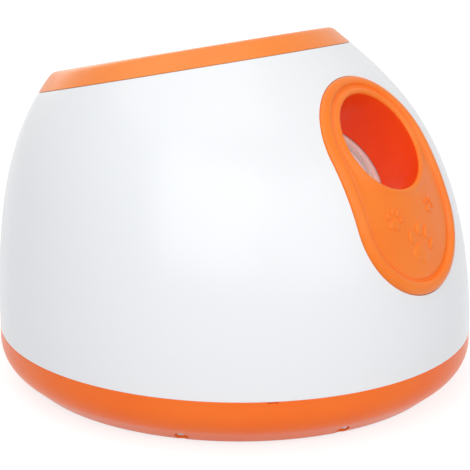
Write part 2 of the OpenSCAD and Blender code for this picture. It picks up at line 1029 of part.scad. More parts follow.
module plate_outline() {
    hull() {
        for (p = concat(spacers, [[sector_s, sector_n]]))
            translate(p)
                circle(r = 9, $fn = 32);
        translate([motor_s, drive_n])
            circle(r = motor_r, $fn = 32);
        translate([rail_low, rail_n - 6])
            square([rail_high - rail_low, 5]);
        translate([sector_s - 12, sector_n + 10])
            circle(r = 6, $fn = 32);
    }
}

module plate_blank(x) {
    across(x, plate_t)
        plate_outline();
}

module plate_holes(x) {
    across(x, plate_t + 2, sector_s, sector_n)
        circle(r = 5);
    across(x, plate_t + 2, first_s, drive_n)
        circle(r = 3);
    for (p = spacers)
        across(x, plate_t + 2, p[0], p[1])
            circle(r = plate_screw_r + 0.15);
    for (s = rail_screws)
        across(x, plate_t + 2, s, 33)
            circle(r = plate_screw_r + 0.15);
}

module gearbox_left_plate() {
    color(dark)
        difference() {
            plate_blank(-plate_x - plate_t);
            plate_holes(-plate_x - plate_t - 1);
        }
}

module gearbox_right_plate() {
    color(dark)
        difference() {
            plate_blank(plate_x);
            plate_holes(plate_x - 1);
            across(plate_x - 1, plate_t + 2, second_s, drive_n)
                circle(r = pin_r);
            across(plate_x - 1, plate_t + 2, motor_s, drive_n)
                circle(r = 5);
            for (side = [-1, 1])
                across(plate_x - 1, plate_t + 2, motor_s, drive_n + side * motor_screw_n)
                    circle(r = plate_screw_r + 0.15);
        }
}

module motor_screws() {
    color(steel)
        for (side = [-1, 1])
            barrel_frame(motor_s, drive_n + side * motor_screw_n, plate_x)
                rotate([0, 90, 0])
                    screw(1.4, plate_t + 4, plate_screw_r, 2.3);
}

module plate_spacers() {
    color(steel)
        for (p = spacers)
            difference() {
                across(-plate_x, 2 * plate_x, p[0], p[1])
                    circle(r = spacer_r);
                for (side = [-1, 1])
                    across(side > 0 ? plate_x - 9 : -plate_x - 1, 10, p[0], p[1])
                        circle(r = plate_screw_r + run);
            }
}

module shaft_bushes() {
    color("#c9a24a")
        for (side = [-1, 1]) {
            bush(side, sector_s, sector_n, shaft_r + run, 5, 6.5);
            bush(side, first_s, drive_n, pin_r + run, 3, 0);
        }
}

module bush(side, s, n, inner, outer, flange) {
    difference() {
        union() {
            across(side > 0 ? plate_x : -plate_x - plate_t, plate_t, s, n)
                circle(r = outer);
            if (flange > 0)
                across(side > 0 ? plate_x - 1.2 : -plate_x, 1.2, s, n)
                    circle(r = flange);
        }
        across(-40, 80, s, n)
            circle(r = inner);
    }
}

module gearbox_screws() {
    x = plate_x + plate_t;
    color(steel)
        for (side = [-1, 1], p = concat(spacers, [for (s = rail_screws) [s, 33]]))
            barrel_frame(p[0], p[1], side * x)
                rotate([0, -side * 90, 0])
                    screw(1.6, plate_t + 5, plate_screw_r, 2.4);
}

// ---------- Ball sensor ----------

module ball_switch() {
    color(dark)
        difference() {
            union() {
                barrel_box(-50, -38.9, switch_n, 51.5, port_s - 6, port_s + 21);
                barrel_box(-39, -35.2, switch_n, 45.5, lever_s - 2, lever_s + 2.4);
                barrel_box(-39, -35.2, 50.3, 51.5, lever_s - 2, lever_s + 2.4);
                across(-39.2, 2.7, lever_s - 4.4, 48)
                    circle(r = 1);
            }
            upright(switch_n - 1, 52, 0.84, lever_s, lever_x);
            for (s = switch_screw_s)
                upright(switch_n - 1, 52, 1.2, s, switch_screw_x);
        }
}

module ball_lever() {
    color("#d9dadc")
        barrel_frame(0, 45.7)
            rotate([-90, 0, 0])
                linear_extrude(4.4)
                    difference() {
                        union() {
                            translate([lever_x, lever_s])
                                circle(r = 1.7);
                            hull() {
                                translate([lever_x + 0.6, lever_s - 0.9])
                                    circle(r = 0.7, $fn = 12);
                                translate([lever_tip_x - 3, lever_tip_s + 4.5])
                                    circle(r = 0.7, $fn = 12);
                            }
                            hull() {
                                translate([lever_tip_x - 3, lever_tip_s + 4.5])
                                    circle(r = 0.7, $fn = 12);
                                translate([lever_tip_x, lever_tip_s])
                                    circle(r = 0.7, $fn = 12);
                            }
                            hull() {
                                translate([lever_tip_x, lever_tip_s])
                                    circle(r = 0.7, $fn = 12);
                                translate([lever_tip_x - 1.2, lever_tip_s - 3])
                                    circle(r = 0.7, $fn = 12);
                            }
                        }
                        translate([lever_x, lever_s])
                            circle(r = 0.87);
                    }
}

module lever_pin() {
    color(steel)
        upright(switch_n, 52, 0.82, lever_s, lever_x);
}

module switch_screws() {
    color(steel)
        for (s = switch_screw_s)
            barrel_frame(s, 51.5, switch_screw_x)
                rotate([90, 0, 0])
                    screw(1.2, 11, 1, 1.9);
}

// ---------- Control panel ----------

module control_panel() {
    color(base_orange)
        difference() {
            union() {
                difference() {
                    intersection() {
                        back_wall(0.3);
                        ctrl_prism(0);
                    }
                    back_wall(ctrl_depth);
                }
                difference() {
                    intersection() {
                        back_wall(wall + 0.6);
                        union() {
                            ctrl_prism(ctrl_lip);
                            ctrl_tabs();
                        }
                    }
                    back_wall(ctrl_depth);
                }
                intersection() {
                    back_wall(1);
                    union() {
                        for (side = [-1, 1])
                            backwards(side * button_x, ctrl_z, 150, guide_end, button_r + 2);
                        for (p = board_posts)
                            backwards(p[0], p[1], 150, board_y + board_t + 0.1, 2.6);
                    }
                }
            }
            for (side = [-1, 1]) {
                backwards(side * button_x, ctrl_z, 160, guide_end - 1, button_r + gap);
                ctrl_screw_bar(side, 138, 152, 3.7);
            }
            for (x = led_x)
                backwards(x, ctrl_z, 160, 130, 1.7);
            for (p = board_posts)
                backwards(p[0], p[1], board_y + 9, board_y, 1.05);
        }
}

// The nearly upright back of the dome, near the control panel, as a true cone
module back_wall(inset) {
    low = ctrl_z - 24;
    high = ctrl_z + 24;
    centre = lean(ctrl_z) - back_bulge;
    translate([0, centre, low])
        cylinder(h = high - low, r1 = back_y(low) - centre - inset + back_bulge,
            r2 = back_y(high) - centre - inset + back_bulge);
}

module ctrl_tabs() {
    for (side = [-1, 1])
        rotate([0, 0, -side * ctrl_screw_angle])
            translate([-7, 120, ctrl_z - 7])
                cube([14, 40, 14]);
}

module button(x) {
    face = back_y(ctrl_z) - 1.3 + button_proud;
    backwards(x, ctrl_z, face, guide_end - 1, button_r);
    backwards(x, ctrl_z, guide_end - 0.2, guide_end - 1.8, button_r + 1.5);
    backwards(x, ctrl_z, guide_end - 1, guide_end - 2.2, 2.5);
}

module power_button() {
    color("#f4f5f6")
        button(-button_x);
}

module distance_button() {
    color("#f4f5f6")
        button(button_x);
}

module led_lenses() {
    color("#9fe07a")
        for (x = led_x)
            backwards(x, ctrl_z, back_y(ctrl_z), board_y + board_t + 3, 1.6);
}

module control_board() {
    color("#2f6b45")
        difference() {
            translate([-ctrl_w + 2, board_y, ctrl_z - ctrl_h])
                cube([2 * ctrl_w - 4, board_t, 2 * ctrl_h]);
            for (p = board_posts)
                backwards(p[0], p[1], board_y + 5, board_y - 2, 1.25);
        }
}

module button_switches() {
    top = board_y + board_t;
    color(dark)
        for (side = [-1, 1])
            translate([side * button_x, 0, ctrl_z]) {
                translate([-3, top, -3])
                    cube([6, 3.8, 6]);
                backwards(0, 0, top + 4.8, top + 3.7, 1.7);
            }
}

module buzzer() {
    color(dark)
        backwards(0, ctrl_z + 6, board_y, board_y - 7, 6);
}

module board_screws() {
    color(steel)
        for (p = board_posts)
            translate([p[0], board_y, p[1]])
                rotate([-90, 0, 0])
                    screw(1.4, 7.5, 1, 2);
}

module panel_screws() {
    color(steel)
        for (side = [-1, 1]) {
            ctrl_screw_bar(side, 140.6, 142.9, 4.6);
            ctrl_screw_bar(side, 142.8, 147.6, thread_r);
        }
}

module power_socket() {
    face = back_y(socket_z) + 1.2;
    color(dark)
        difference() {
            union() {
                backwards(0, socket_z, face, face - 1.1, 7.5);
                backwards(0, socket_z, face - 1, face - 15, 5.4);
            }
            difference() {
                backwards(0, socket_z, face + 1, face - 10, 2.8);
                backwards(0, socket_z, face - 2, face - 11, 1);
            }
        }
}

module socket_nut() {
    wall_in = back_y(socket_z) - wall - 1;
    color(steel)
        difference() {
            translate([0, wall_in, socket_z])
                rotate([90, 0, 0])
                    cylinder(h = 2.4, r = 7.6, $fn = 6);
            backwards(0, socket_z, wall_in + 1, wall_in - 4, 5.45);
        }
}

// ---------- Base fittings ----------

module battery_door() {
    color(base_orange)
        difference() {
            translate([0, bay_y, foot_h + 0.3])
                linear_extrude(wall - 0.5)
                    door_outline(-0.4);
            for (y = door_screw_y)
                translate([0, y, 0]) {
                    cylinder(h = foot_h + 1.7, r = head_r + gap);
                    cylinder(h = 10, r = screw_way_r);
                }
            // finger groove
            translate([-14, bay_y + bay_half_y - 8, 0])
                cube([28, 3, foot_h + 1.3]);
        }
}

module door_screws() {
    color(steel)
        for (y = door_screw_y)
            translate([0, y, foot_h + 1.7])
                screw(1.3, 8.5);
}

module cell(x, y, dir) {
    translate([x, y, floor_top + 0.4 + cell_r])
        rotate([0, 90 * dir, 0]) {
            cylinder(h = cell_l - nub_l, r = cell_r);
            cylinder(h = cell_l, r = 3.3);
        }
}

module battery_cells() {
    color("#4a4f57")
        for (row = [-1, 0, 1], end = [-1, 1]) {
            dir = row == 0 ? -1 : 1;
            start = dir > 0 ? (end > 0 ? 0.2 : -49.3) : (end > 0 ? 49.3 : -0.2);
            cell(start, bay_y + row * row_pitch, dir);
        }
}

module battery_contacts() {
    z = floor_top + 0.4 + cell_r;
    color("#c8c9cc")
        for (row = [-1, 0, 1], side = [-1, 1]) {
            dir = row == 0 ? -1 : 1;
            y = bay_y + row * row_pitch;
            plate = side > 0 ? bay_x - 0.5 : -bay_x + 0.1;
            translate([plate, y - 8, z - 9])
                cube([0.4, 16, 18]);
            translate([side > 0 ? 49.4 : -bay_x + 0.3, y, z])
                rotate([0, 90, 0])
                    cylinder(h = bay_x - 49.7, r = side == dir ? 2.6 : 6);
        }
}

module rubber_feet() {
    color("#3a3b3d")
        for (p = feet_at)
            translate([p[0], p[1], 0])
                cylinder(h = foot_h + 1.1, r = foot_r);
}

module base_screws() {
    color(steel)
        for (a = well_angles)
            at_well(a)
                translate([0, 0, well_depth])
                    screw(2.4, 17);
}

module bezel_screws() {
    color(steel)
        for (sx = [-1, 1], sv = [-1, 1])
            panel_frame(panel_boss_end - 2.75)
                translate([sx * panel_boss_x, sv * panel_boss_v, 0])
                    screw(1.8, 9);
}

module hopper_screws() {
    color(steel)
        for (a = hopper_screw_angles)
            at_rim_screw(a, -band_t - flange_t)
                screw(1.8, 9.5, thread_r, 2.5);
}

module barrel_screws() {
    color(steel)
        for (side = [-1, 1], s = barrel_ear_s)
            barrel_frame(s, -10, side * barrel_ear_x)
                rotate([90, 0, 0])
                    screw(1.8, 9);
}

module cradle_screws() {
    color(steel)
        for (p = cradle_feet)
            translate([p[0], p[1], p[2] + 3.05])
                rotate([180, 0, 0])
                    screw(1.8, 8.5);
}

module end_cap_screws() {
    color(steel)
        for (a = end_screw_angles)
            barrel_frame(barrel_end + 6)
                rotate([0, 0, a])
                    translate([barrel_r + 3, 0, 0])
                        screw(1.8, 9.5);
}

module motor_leads() {
    x = plate_x + plate_t + motor_l + 2.9;
    start = barrel_point(x, drive_n, motor_s);
    color("#b3261e")
        tube_along(smooth_path([start, start + [8, 4, 0], [72, 90, 84], [50, 116, 80],
            [34, 122, 76], [28, board_y - 4, 74], [28, board_y - 0.3, 74]]), 1.3);
}

module battery_leads() {
    start_y = bay_y + bay_half_y + 3.2;
    color("#26282b")
        tube_along(smooth_path([[41, start_y, bay_top - 4], [43, start_y + 5, bay_top - 6],
            [56, -10, 18], [60, 50, 12], [44, 98, 30], [20, 116, 62],
            [14, board_y - 4, 68], [14, board_y - 0.3, 68]]), 1.3);
}

main_housing();
base_tray();
hopper_funnel();
outlet_bezel();
launch_barrel();
barrel_cradle();
barrel_bumper();
barrel_end_cap();
spring_guide_rod();
main_spring();
piston();
piston_ring();
piston_rack();
rack_screws();
sector_gear();
bull_gear();
drive_shaft();
second_gear();
second_gear_pin();
first_gear();
first_gear_shaft();
motor_pinion();
drive_motor();
motor_screws();
gearbox_left_plate();
gearbox_right_plate();
plate_spacers();
shaft_bushes();
gearbox_screws();
ball_switch();
ball_lever();
lever_pin();
switch_screws();
control_panel();
power_button();
distance_button();
led_lenses();
control_board();
button_switches();
buzzer();
board_screws();
panel_screws();
power_socket();
socket_nut();
battery_door();
door_screws();
battery_cells();
battery_contacts();
rubber_feet();
base_screws();
bezel_screws();
hopper_screws();
barrel_screws();
cradle_screws();
end_cap_screws();
motor_leads();
battery_leads();
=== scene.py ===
"""Automatic ball launcher for dogs: the visual model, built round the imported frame.

Sizes are in millimetres in the frame of the CAD: +Z up, the ground under the feet at
zero, balls leaving towards -Y. Meshes are made in metres.
"""

import json
import logging
import math
from contextlib import contextmanager
from dataclasses import dataclass
from enum import Enum
from typing import Callable, Iterator, Sequence

import bmesh
import bpy
import numpy as np
from mathutils import Matrix, Vector


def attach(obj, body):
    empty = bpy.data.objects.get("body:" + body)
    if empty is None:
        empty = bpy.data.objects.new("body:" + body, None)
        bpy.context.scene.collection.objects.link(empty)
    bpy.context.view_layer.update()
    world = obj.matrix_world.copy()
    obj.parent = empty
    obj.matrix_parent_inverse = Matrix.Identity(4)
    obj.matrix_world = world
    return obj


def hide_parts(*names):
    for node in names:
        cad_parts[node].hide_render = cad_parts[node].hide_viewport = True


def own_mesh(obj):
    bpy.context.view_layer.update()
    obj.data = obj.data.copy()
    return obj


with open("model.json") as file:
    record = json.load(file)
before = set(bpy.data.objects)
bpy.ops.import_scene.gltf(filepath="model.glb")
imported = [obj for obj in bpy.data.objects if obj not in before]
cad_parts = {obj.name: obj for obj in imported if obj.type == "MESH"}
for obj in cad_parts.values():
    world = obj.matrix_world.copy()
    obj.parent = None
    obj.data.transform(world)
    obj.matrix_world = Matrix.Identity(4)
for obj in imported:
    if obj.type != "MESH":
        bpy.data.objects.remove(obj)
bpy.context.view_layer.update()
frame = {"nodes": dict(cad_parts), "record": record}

LOG = logging.getLogger("launcher")
MM = 0.001
CAPSULE_POINTS = 180
# The outlet panel's screws, across and up the panel, and the circuit board's: X and Z.
PANEL_SCREWS = tuple((x, v) for x in (-55.0, 55.0) for v in (-22.0, 22.0))
BOARD_SCREWS = tuple((x, z) for x in (-32, 32) for z in (67, 93))
# How far the hopper's screws stand from the bowl's axis.
HOPPER_SCREW_REACH = 89.2


class Body(Enum):
    """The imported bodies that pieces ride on."""

    LAUNCHER = "launcher"
    PISTON = "piston"
    POWER_BUTTON = "power_button"
    DISTANCE_BUTTON = "distance_button"
    BATTERY_DOOR = "battery_door"


class Join(Enum):
    """The ways in which one closed mesh can work on another."""

    CUT = "DIFFERENCE"
    ADD = "UNION"
    KEEP = "INTERSECT"


class Angle(Enum):
    """The sharpest fold that still shades smoothly, in degrees."""

    SOFT = 32.0
    TIGHT = 22.0


# ---------------------------------------------------------------- places


def shift(x: float, y: float, z: float) -> Matrix:
    """A move by millimetres."""
    return Matrix.Translation(Vector((x, y, z)) * MM)


def spin(axis: str, degrees: float) -> Matrix:
    """A turn about one axis through the origin."""
    return Matrix.Rotation(math.radians(degrees), 4, axis)


HERE = Matrix.Identity(4)
RIM = shift(0, 0, 208.2) @ spin("X", -12.64) @ shift(0, 37.4, 0)
BARREL = shift(0, -104.7, 159.4) @ spin("X", 49.0)
PANEL = shift(0, -113.7, 136.9) @ spin("X", 61.0)


def along_barrel(depth: float, height: float = 0.0, across: float = 0.0) -> Matrix:
    """The place at a depth behind the outlet's mouth, its Z pointing out of the mouth."""
    return BARREL @ shift(across, height, -depth)


def to_world(place: Matrix, points: np.ndarray) -> np.ndarray:
    """Turns millimetre points of a local frame into millimetre points of the CAD frame.

    Args:
        place: The local frame.
        points: Points in the frame, one per row of the last axis.

    Returns:
        The same points in the CAD frame.
    """
    turn = np.array(place.to_3x3())
    return points @ turn.T + np.array(place.translation) / MM


def to_local(place: Matrix, points: np.ndarray) -> np.ndarray:
    """Turns millimetre points of the CAD frame into points of a local frame."""
    turn = np.array(place.to_3x3())
    return (points - np.array(place.translation) / MM) @ turn


# ---------------------------------------------------------------- the dome's surface


@dataclass(frozen=True)
class Dome:
    """The housing's outer skin: level circles on a cubic curve that lean backwards.

    Attributes:
        radii: The curve's control radii, from the seam to the closed crown.
        heights: Its control heights.
        lean_start: How fast the centres move back at the seam.
        lean_rise: How fast that grows with height.
        samples: Points at which the curve is worked out.
        halvings: Steps in which a range closes on the skin.
    """

    radii: tuple[float, ...] = (150.0, 149.0, 102.0, 65.0)
    heights: tuple[float, ...] = (32.0, 165.0, 189.0, 224.0)
    lean_start: float = 5.3
    lean_rise: float = 15.8
    samples: int = 1200
    halvings: int = 36

    def _curve(self, control: Sequence[float], t: np.ndarray) -> np.ndarray:
        """The cubic through its control values."""
        a, b, c, d = control
        u = 1 - t
        return a * u**3 + 3 * b * t * u**2 + 3 * c * t**2 * u + d * t**3

    def level(self, t: float) -> tuple[float, float, float]:
        """The radius, centre and height of the circle at a share of the curve."""
        share = np.array(t)
        z = float(self._curve(self.heights, share))
        return float(self._curve(self.radii, share)), float(self.lean(np.array(z))), z

    def lean(self, z: np.ndarray) -> np.ndarray:
        """How far back the circle at a height stands."""
        h = (z - self.heights[0]) / (self.heights[3] - self.heights[0])
        return self.lean_start * h + self.lean_rise * h * h

    def outside(self, points: np.ndarray, lift: np.ndarray) -> np.ndarray:
        """How far points stand outside the skin raised by lift.

        Args:
            points: Points in the CAD frame.
            lift: How far the skin is moved outwards from its axis.

        Returns:
            A distance for each point, below zero inside.
        """
        t = np.linspace(0, 1, self.samples)
        z = points[..., 2]
        radius = np.interp(z, self._curve(self.heights, t), self._curve(self.radii, t))
        return np.hypot(points[..., 0], points[..., 1] - self.lean(z)) - radius - lift

    def meet(self, place: Matrix, flat: np.ndarray, lift: np.ndarray | float) -> np.ndarray:
        """Where lines along a frame's Z meet the skin raised by lift.

        Args:
            place: The local frame.
            flat: X and Y of each line in the frame.
            lift: How far the skin is raised.

        Returns:
            The points in the CAD frame.
        """
        def along(reach: np.ndarray) -> np.ndarray:
            """The points that far along the lines."""
            return to_world(place, np.concatenate([flat, reach[..., None]], -1))

        return along(self._search(-60.0, 60.0, flat.shape[:-1], along, lift))

    def rim_reach(self, angles: np.ndarray, height: float, lift: float) -> np.ndarray:
        """How far from the bowl's axis the skin is, at a height over the rim plane."""
        def around(radius: np.ndarray) -> np.ndarray:
            """The points that far from the axis."""
            flat = [radius * np.cos(angles), radius * np.sin(angles), np.full(angles.shape, height)]
            return to_world(RIM, np.stack(flat, -1))

        return self._search(20.0, 190.0, angles.shape, around, lift)

    def _search(
        self, start: float, end: float, shape: tuple[int, ...], place: Callable[[np.ndarray], np.ndarray],
        lift: np.ndarray | float,
    ) -> np.ndarray:
        """Halves a range until it closes on the skin.

        Args:
            start: A reach that lies inside the skin.
            end: A reach that lies outside it.
            shape: The shape of the answer.
            place: Gives the points at a reach.
            lift: How far the skin is raised.

        Returns:
            The reach of the skin, just inside it.
        """
        low, high = np.full(shape, start), np.full(shape, end)
        for _ in range(self.halvings):
            middle = (low + high) / 2
            out = self.outside(place(middle), lift) > 0
            high, low = np.where(out, middle, high), np.where(out, low, middle)
        return low


DOME = Dome()


# ---------------------------------------------------------------- modelling tools


@contextmanager
def editing(piece: bpy.types.Object) -> Iterator[None]:
    """Edit mode on one piece, with all of it selected."""
    choose(piece)
    bpy.ops.object.mode_set(mode="EDIT")
    bpy.ops.mesh.select_all(action="SELECT")
    yield
    bpy.ops.object.mode_set(mode="OBJECT")


def choose(*pieces: bpy.types.Object) -> None:
    """Selects these pieces only, the first of them active."""
    bpy.ops.object.select_all(action="DESELECT")
    for piece in pieces:
        piece.select_set(True)
    if pieces:
        bpy.context.view_layer.objects.active = pieces[0]


def adopt(name: str, place: Matrix = HERE) -> bpy.types.Object:
    """Names the primitive just added and puts its place into its mesh."""
    piece = bpy.context.active_object
    bpy.ops.object.transform_apply(location=True, rotation=True, scale=True)
    piece.data.transform(place)
    piece.name = piece.data.name = name
    return piece


def pull(x: float, y: float, z: float) -> None:
    """Extrudes what is selected, in edit mode, by millimetres."""
    bpy.ops.mesh.extrude_region_move(TRANSFORM_OT_translate={"value": Vector((x, y, z)) * MM})


def lay(piece: bpy.types.Object, points: np.ndarray) -> None:
    """Sets each point of a mesh, in millimetres."""
    piece.data.vertices.foreach_set("co", (points * MM).ravel().astype(np.float32))
    piece.data.update()


def put(name: str, data: bpy.types.ID) -> bpy.types.Object:
    """Adds an object to the scene."""
    made = bpy.data.objects.new(name, data)
    bpy.context.scene.collection.objects.link(made)
    return made


def select_points(piece: bpy.types.Object, test: Callable[[Vector], bool]) -> None:
    """Selects, in edit mode, the vertices whose place in mm passes a test."""
    bpy.context.tool_settings.mesh_select_mode = (True, False, False)
    bpy.ops.mesh.select_all(action="DESELECT")
    mesh = bmesh.from_edit_mesh(piece.data)
    for vertex in mesh.verts:
        if test(vertex.co / MM):
            vertex.select_set(True)
    mesh.select_flush(True)
    bmesh.update_edit_mesh(piece.data)


def tidy_normals(piece: bpy.types.Object, merge: float = 0.002) -> None:
    """Merges doubled points and turns all faces outwards."""
    with editing(piece):
        bpy.ops.mesh.remove_doubles(threshold=merge * MM)
        bpy.ops.mesh.normals_make_consistent(inside=False)


def smooth(piece: bpy.types.Object, angle: Angle = Angle.SOFT) -> None:
    """Shades a piece smoothly up to a fold."""
    choose(piece)
    bpy.ops.object.shade_smooth_by_angle(angle=math.radians(angle.value))


def join(name: str, *pieces: bpy.types.Object) -> bpy.types.Object:
    """Makes one piece of several."""
    choose(*pieces)
    if len(pieces) > 1:
        bpy.ops.object.join()
    pieces[0].name = pieces[0].data.name = name
    return pieces[0]


def combine(piece: bpy.types.Object, tool: bpy.types.Object, how: Join) -> None:
    """Works one closed mesh on another and throws the tool away."""
    work = piece.modifiers.new(how.name, "BOOLEAN")
    work.object, work.operation, work.solver = tool, how.value, "EXACT"
    choose(piece)
    bpy.ops.object.modifier_apply(modifier=work.name)
    bpy.data.objects.remove(tool, do_unlink=True)


def raise_rings(
    name: str,
    rings: Sequence[tuple[float, ...]],
    sides: int = 64,
    place: Matrix = HERE,
    looped: bool = False,
) -> bpy.types.Object:
    """Draws a circle up from ring to ring by extruding and scaling its edge.

    Args:
        name: The piece's name.
        rings: Radius and height of each ring, and how far back it stands if it does.
        sides: Points on the circle.
        place: Where the finished shape goes.
        looped: True if the last ring meets the first; else both ends are closed flat.

    Returns:
        The closed piece.
    """
    rings = [(*ring, 0.0)[:3] for ring in rings]
    radius, height, lean = rings[0]
    bpy.ops.mesh.primitive_circle_add(
        vertices=sides, radius=radius * MM, fill_type="NOTHING", location=(0, lean * MM, height * MM)
    )
    piece = adopt(name)
    with editing(piece):
        bpy.context.tool_settings.mesh_select_mode = (False, True, False)
        for new_radius, new_height, new_lean in rings[1:]:
            pull(0, new_lean - lean, new_height - height)
            grow, centre = new_radius / radius, Vector((0, new_lean, new_height)) * MM
            bpy.ops.transform.resize(value=(grow, grow, 1), center_override=centre)
            radius, height, lean = new_radius, new_height, new_lean
        if not looped:
            bpy.ops.mesh.edge_face_add()
            bpy.ops.mesh.select_non_manifold(extend=False, use_multi_face=False, use_verts=False)
            bpy.ops.mesh.edge_face_add()
    tidy_normals(piece)
    piece.data.transform(place)
    return piece


def bar(radius: float, low: float, high: float, place: Matrix = HERE, sides: int = 48) -> bpy.types.Object:
    """A round bar along a frame's Z, with slightly eased ends."""
    ease = min(0.15, radius / 6)
    rings = [(radius - ease, low), (radius, low + ease), (radius, high - ease), (radius - ease, high)]
    return raise_rings("bar", rings, sides, place)


def cutter(radius: float, low: float, high: float, place: Matrix = HERE, sides: int = 64) -> bpy.types.Object:
    """A plain round tool for cutting bores."""
    return raise_rings("cutter", [(radius, low), (radius, high)], sides, place)


def block(
    low: Sequence[float], high: Sequence[float], place: Matrix = HERE, ease: float = 0.0
) -> bpy.types.Object:
    """A box between two corners, with eased edges if asked.

    Args:
        low: Its lowest corner.
        high: Its highest corner.
        place: The frame the corners are in.
        ease: The radius of its edges.

    Returns:
        The box.
    """
    low, high = Vector(low), Vector(high)
    bpy.ops.mesh.primitive_cube_add(size=MM, location=(low + high) / 2 * MM)
    bpy.context.active_object.scale = high - low
    piece = adopt("block", place)
    if ease > 0:
        with editing(piece):
            bpy.ops.mesh.bevel(offset=ease * MM, segments=2, affect="EDGES")
    return piece


def rounded_slab(
    half: tuple[float, float], corner: float, low: float, high: float, place: Matrix, steps: int = 8
) -> bpy.types.Object:
    """A rectangular slab with rounded corners.

    Args:
        half: Half its width and half its height.
        corner: The radius of its corners.
        low: Where it starts along the frame's Z.
        high: Where it ends.
        place: The frame.
        steps: Segments in each corner.

    Returns:
        The slab.
    """
    bpy.ops.mesh.primitive_plane_add(size=2 * MM, location=(0, 0, low * MM))
    bpy.context.active_object.scale = (half[0], half[1], 1)
    piece = adopt("slab")
    with editing(piece):
        bpy.ops.mesh.bevel(offset=corner * MM, segments=steps, affect="VERTICES")
    return thicken(piece, high - low, place)


def thicken(piece: bpy.types.Object, depth: float, place: Matrix) -> bpy.types.Object:
    """Draws a flat piece up to a closed slab and puts it in its frame."""
    with editing(piece):
        pull(0, 0, depth)
    tidy_normals(piece)
    piece.data.transform(place)
    return piece


def capsule_slab(
    half_width: float, half_gap: float, low: float, high: float, place: Matrix
) -> bpy.types.Object:
    """A slab with two straight sides and two half-round ends.

    Args:
        half_width: Half its width, and the radius of its ends.
        half_gap: Half the distance between the centres of its ends.
        low: Where it starts along the frame's Z.
        high: Where it ends.
        place: The frame.

    Returns:
        The slab.
    """
    bpy.ops.mesh.primitive_circle_add(
        vertices=CAPSULE_POINTS, radius=half_width * MM, fill_type="NGON", location=(0, 0, low * MM)
    )
    piece = adopt("capsule")
    with editing(piece):
        for side in (-1, 1):
            select_points(piece, lambda p, side=side: side * p.y > 0.01)
            bpy.ops.transform.translate(value=(0, side * half_gap * MM, 0))
    return thicken(piece, high - low, place)


def loft(name: str, rings: np.ndarray) -> bpy.types.Object:
    """Skins rings of points that close on themselves both ways.

    A torus with as many segments is added, and each of its points is set on its ring. It
    serves the two mouldings whose edges lie where the dome meets another shape.

    Args:
        name: The piece's name.
        rings: Points in mm, by ring, then round the ring; a torus has 256 at most.

    Returns:
        The closed piece.
    """
    count, around = rings.shape[:2]
    bpy.ops.mesh.primitive_torus_add(
        major_segments=around, minor_segments=count, major_radius=1, minor_radius=0.2
    )
    piece = adopt(name)
    lay(piece, np.swapaxes(rings, 0, 1))
    tidy_normals(piece, 0.0005)
    return piece


def bend(start: np.ndarray, corner: np.ndarray, end: np.ndarray, t: float) -> np.ndarray:
    """The ring at a share of the round curve from one ring to another past a corner."""
    return (1 - t) ** 2 * start + 2 * t * (1 - t) * corner + t * t * end


def dome_solid(
    inset: float, below: float, cut_height: float, levels: int = 56, sides: int = 256
) -> bpy.types.Object:
    """The dome as a closed solid, cut off parallel to the rim.

    Args:
        inset: How far its skin lies inside the outer one.
        below: How far it reaches below the seam.
        cut_height: The height over the rim plane at which it is cut off.
        levels: Rings from seam to crown.
        sides: Points on each ring.

    Returns:
        The solid.
    """
    ease = 0.35 if below == 0 else 0.0
    rings = [(DOME.radii[0] - inset - ease, DOME.heights[0] - below)]
    if ease:
        rings.append((DOME.radii[0] - inset, DOME.heights[0] + ease))
    for i in range(1, levels + 1):
        radius, lean, height = DOME.level(i / levels)
        rings.append((radius - inset, height, lean))
    piece = raise_rings("dome", rings, sides)
    with editing(piece):
        up = RIM.to_3x3() @ Vector((0, 0, 1))
        bpy.ops.mesh.bisect(
            plane_co=(RIM @ shift(0, 0, cut_height)).translation, plane_no=up, use_fill=True, clear_outer=True
        )
    tidy_normals(piece)
    return piece


# ---------------------------------------------------------------- finishes


def linear(code: str) -> tuple[float, float, float, float]:
    """Turns an sRGB hex colour into the linear values a shader takes."""
    parts = [int(code[i : i + 2], 16) / 255 for i in (1, 3, 5)]
    r, g, b = (c / 12.92 if c <= 0.04045 else ((c + 0.055) / 1.055) ** 2.4 for c in parts)
    return (r, g, b, 1.0)


def add_node(
    tree: bpy.types.NodeTree,
    kind: str,
    settings: dict | None = None,
    links: dict | None = None,
) -> bpy.types.Node:
    """Adds a shader node with its settings and links.

    Args:
        tree: The material's nodes.
        kind: The node's type.
        settings: Values by property name, or by input name or number.
        links: Output sockets by the input they go to.

    Returns:
        The node.
    """
    made = tree.nodes.new(kind)
    for key, value in (settings or {}).items():
        if isinstance(key, str) and hasattr(made, key):
            setattr(made, key, value)
        else:
            made.inputs[key].default_value = value
    for key, source in (links or {}).items():
        tree.links.new(source, made.inputs[key])
    return made


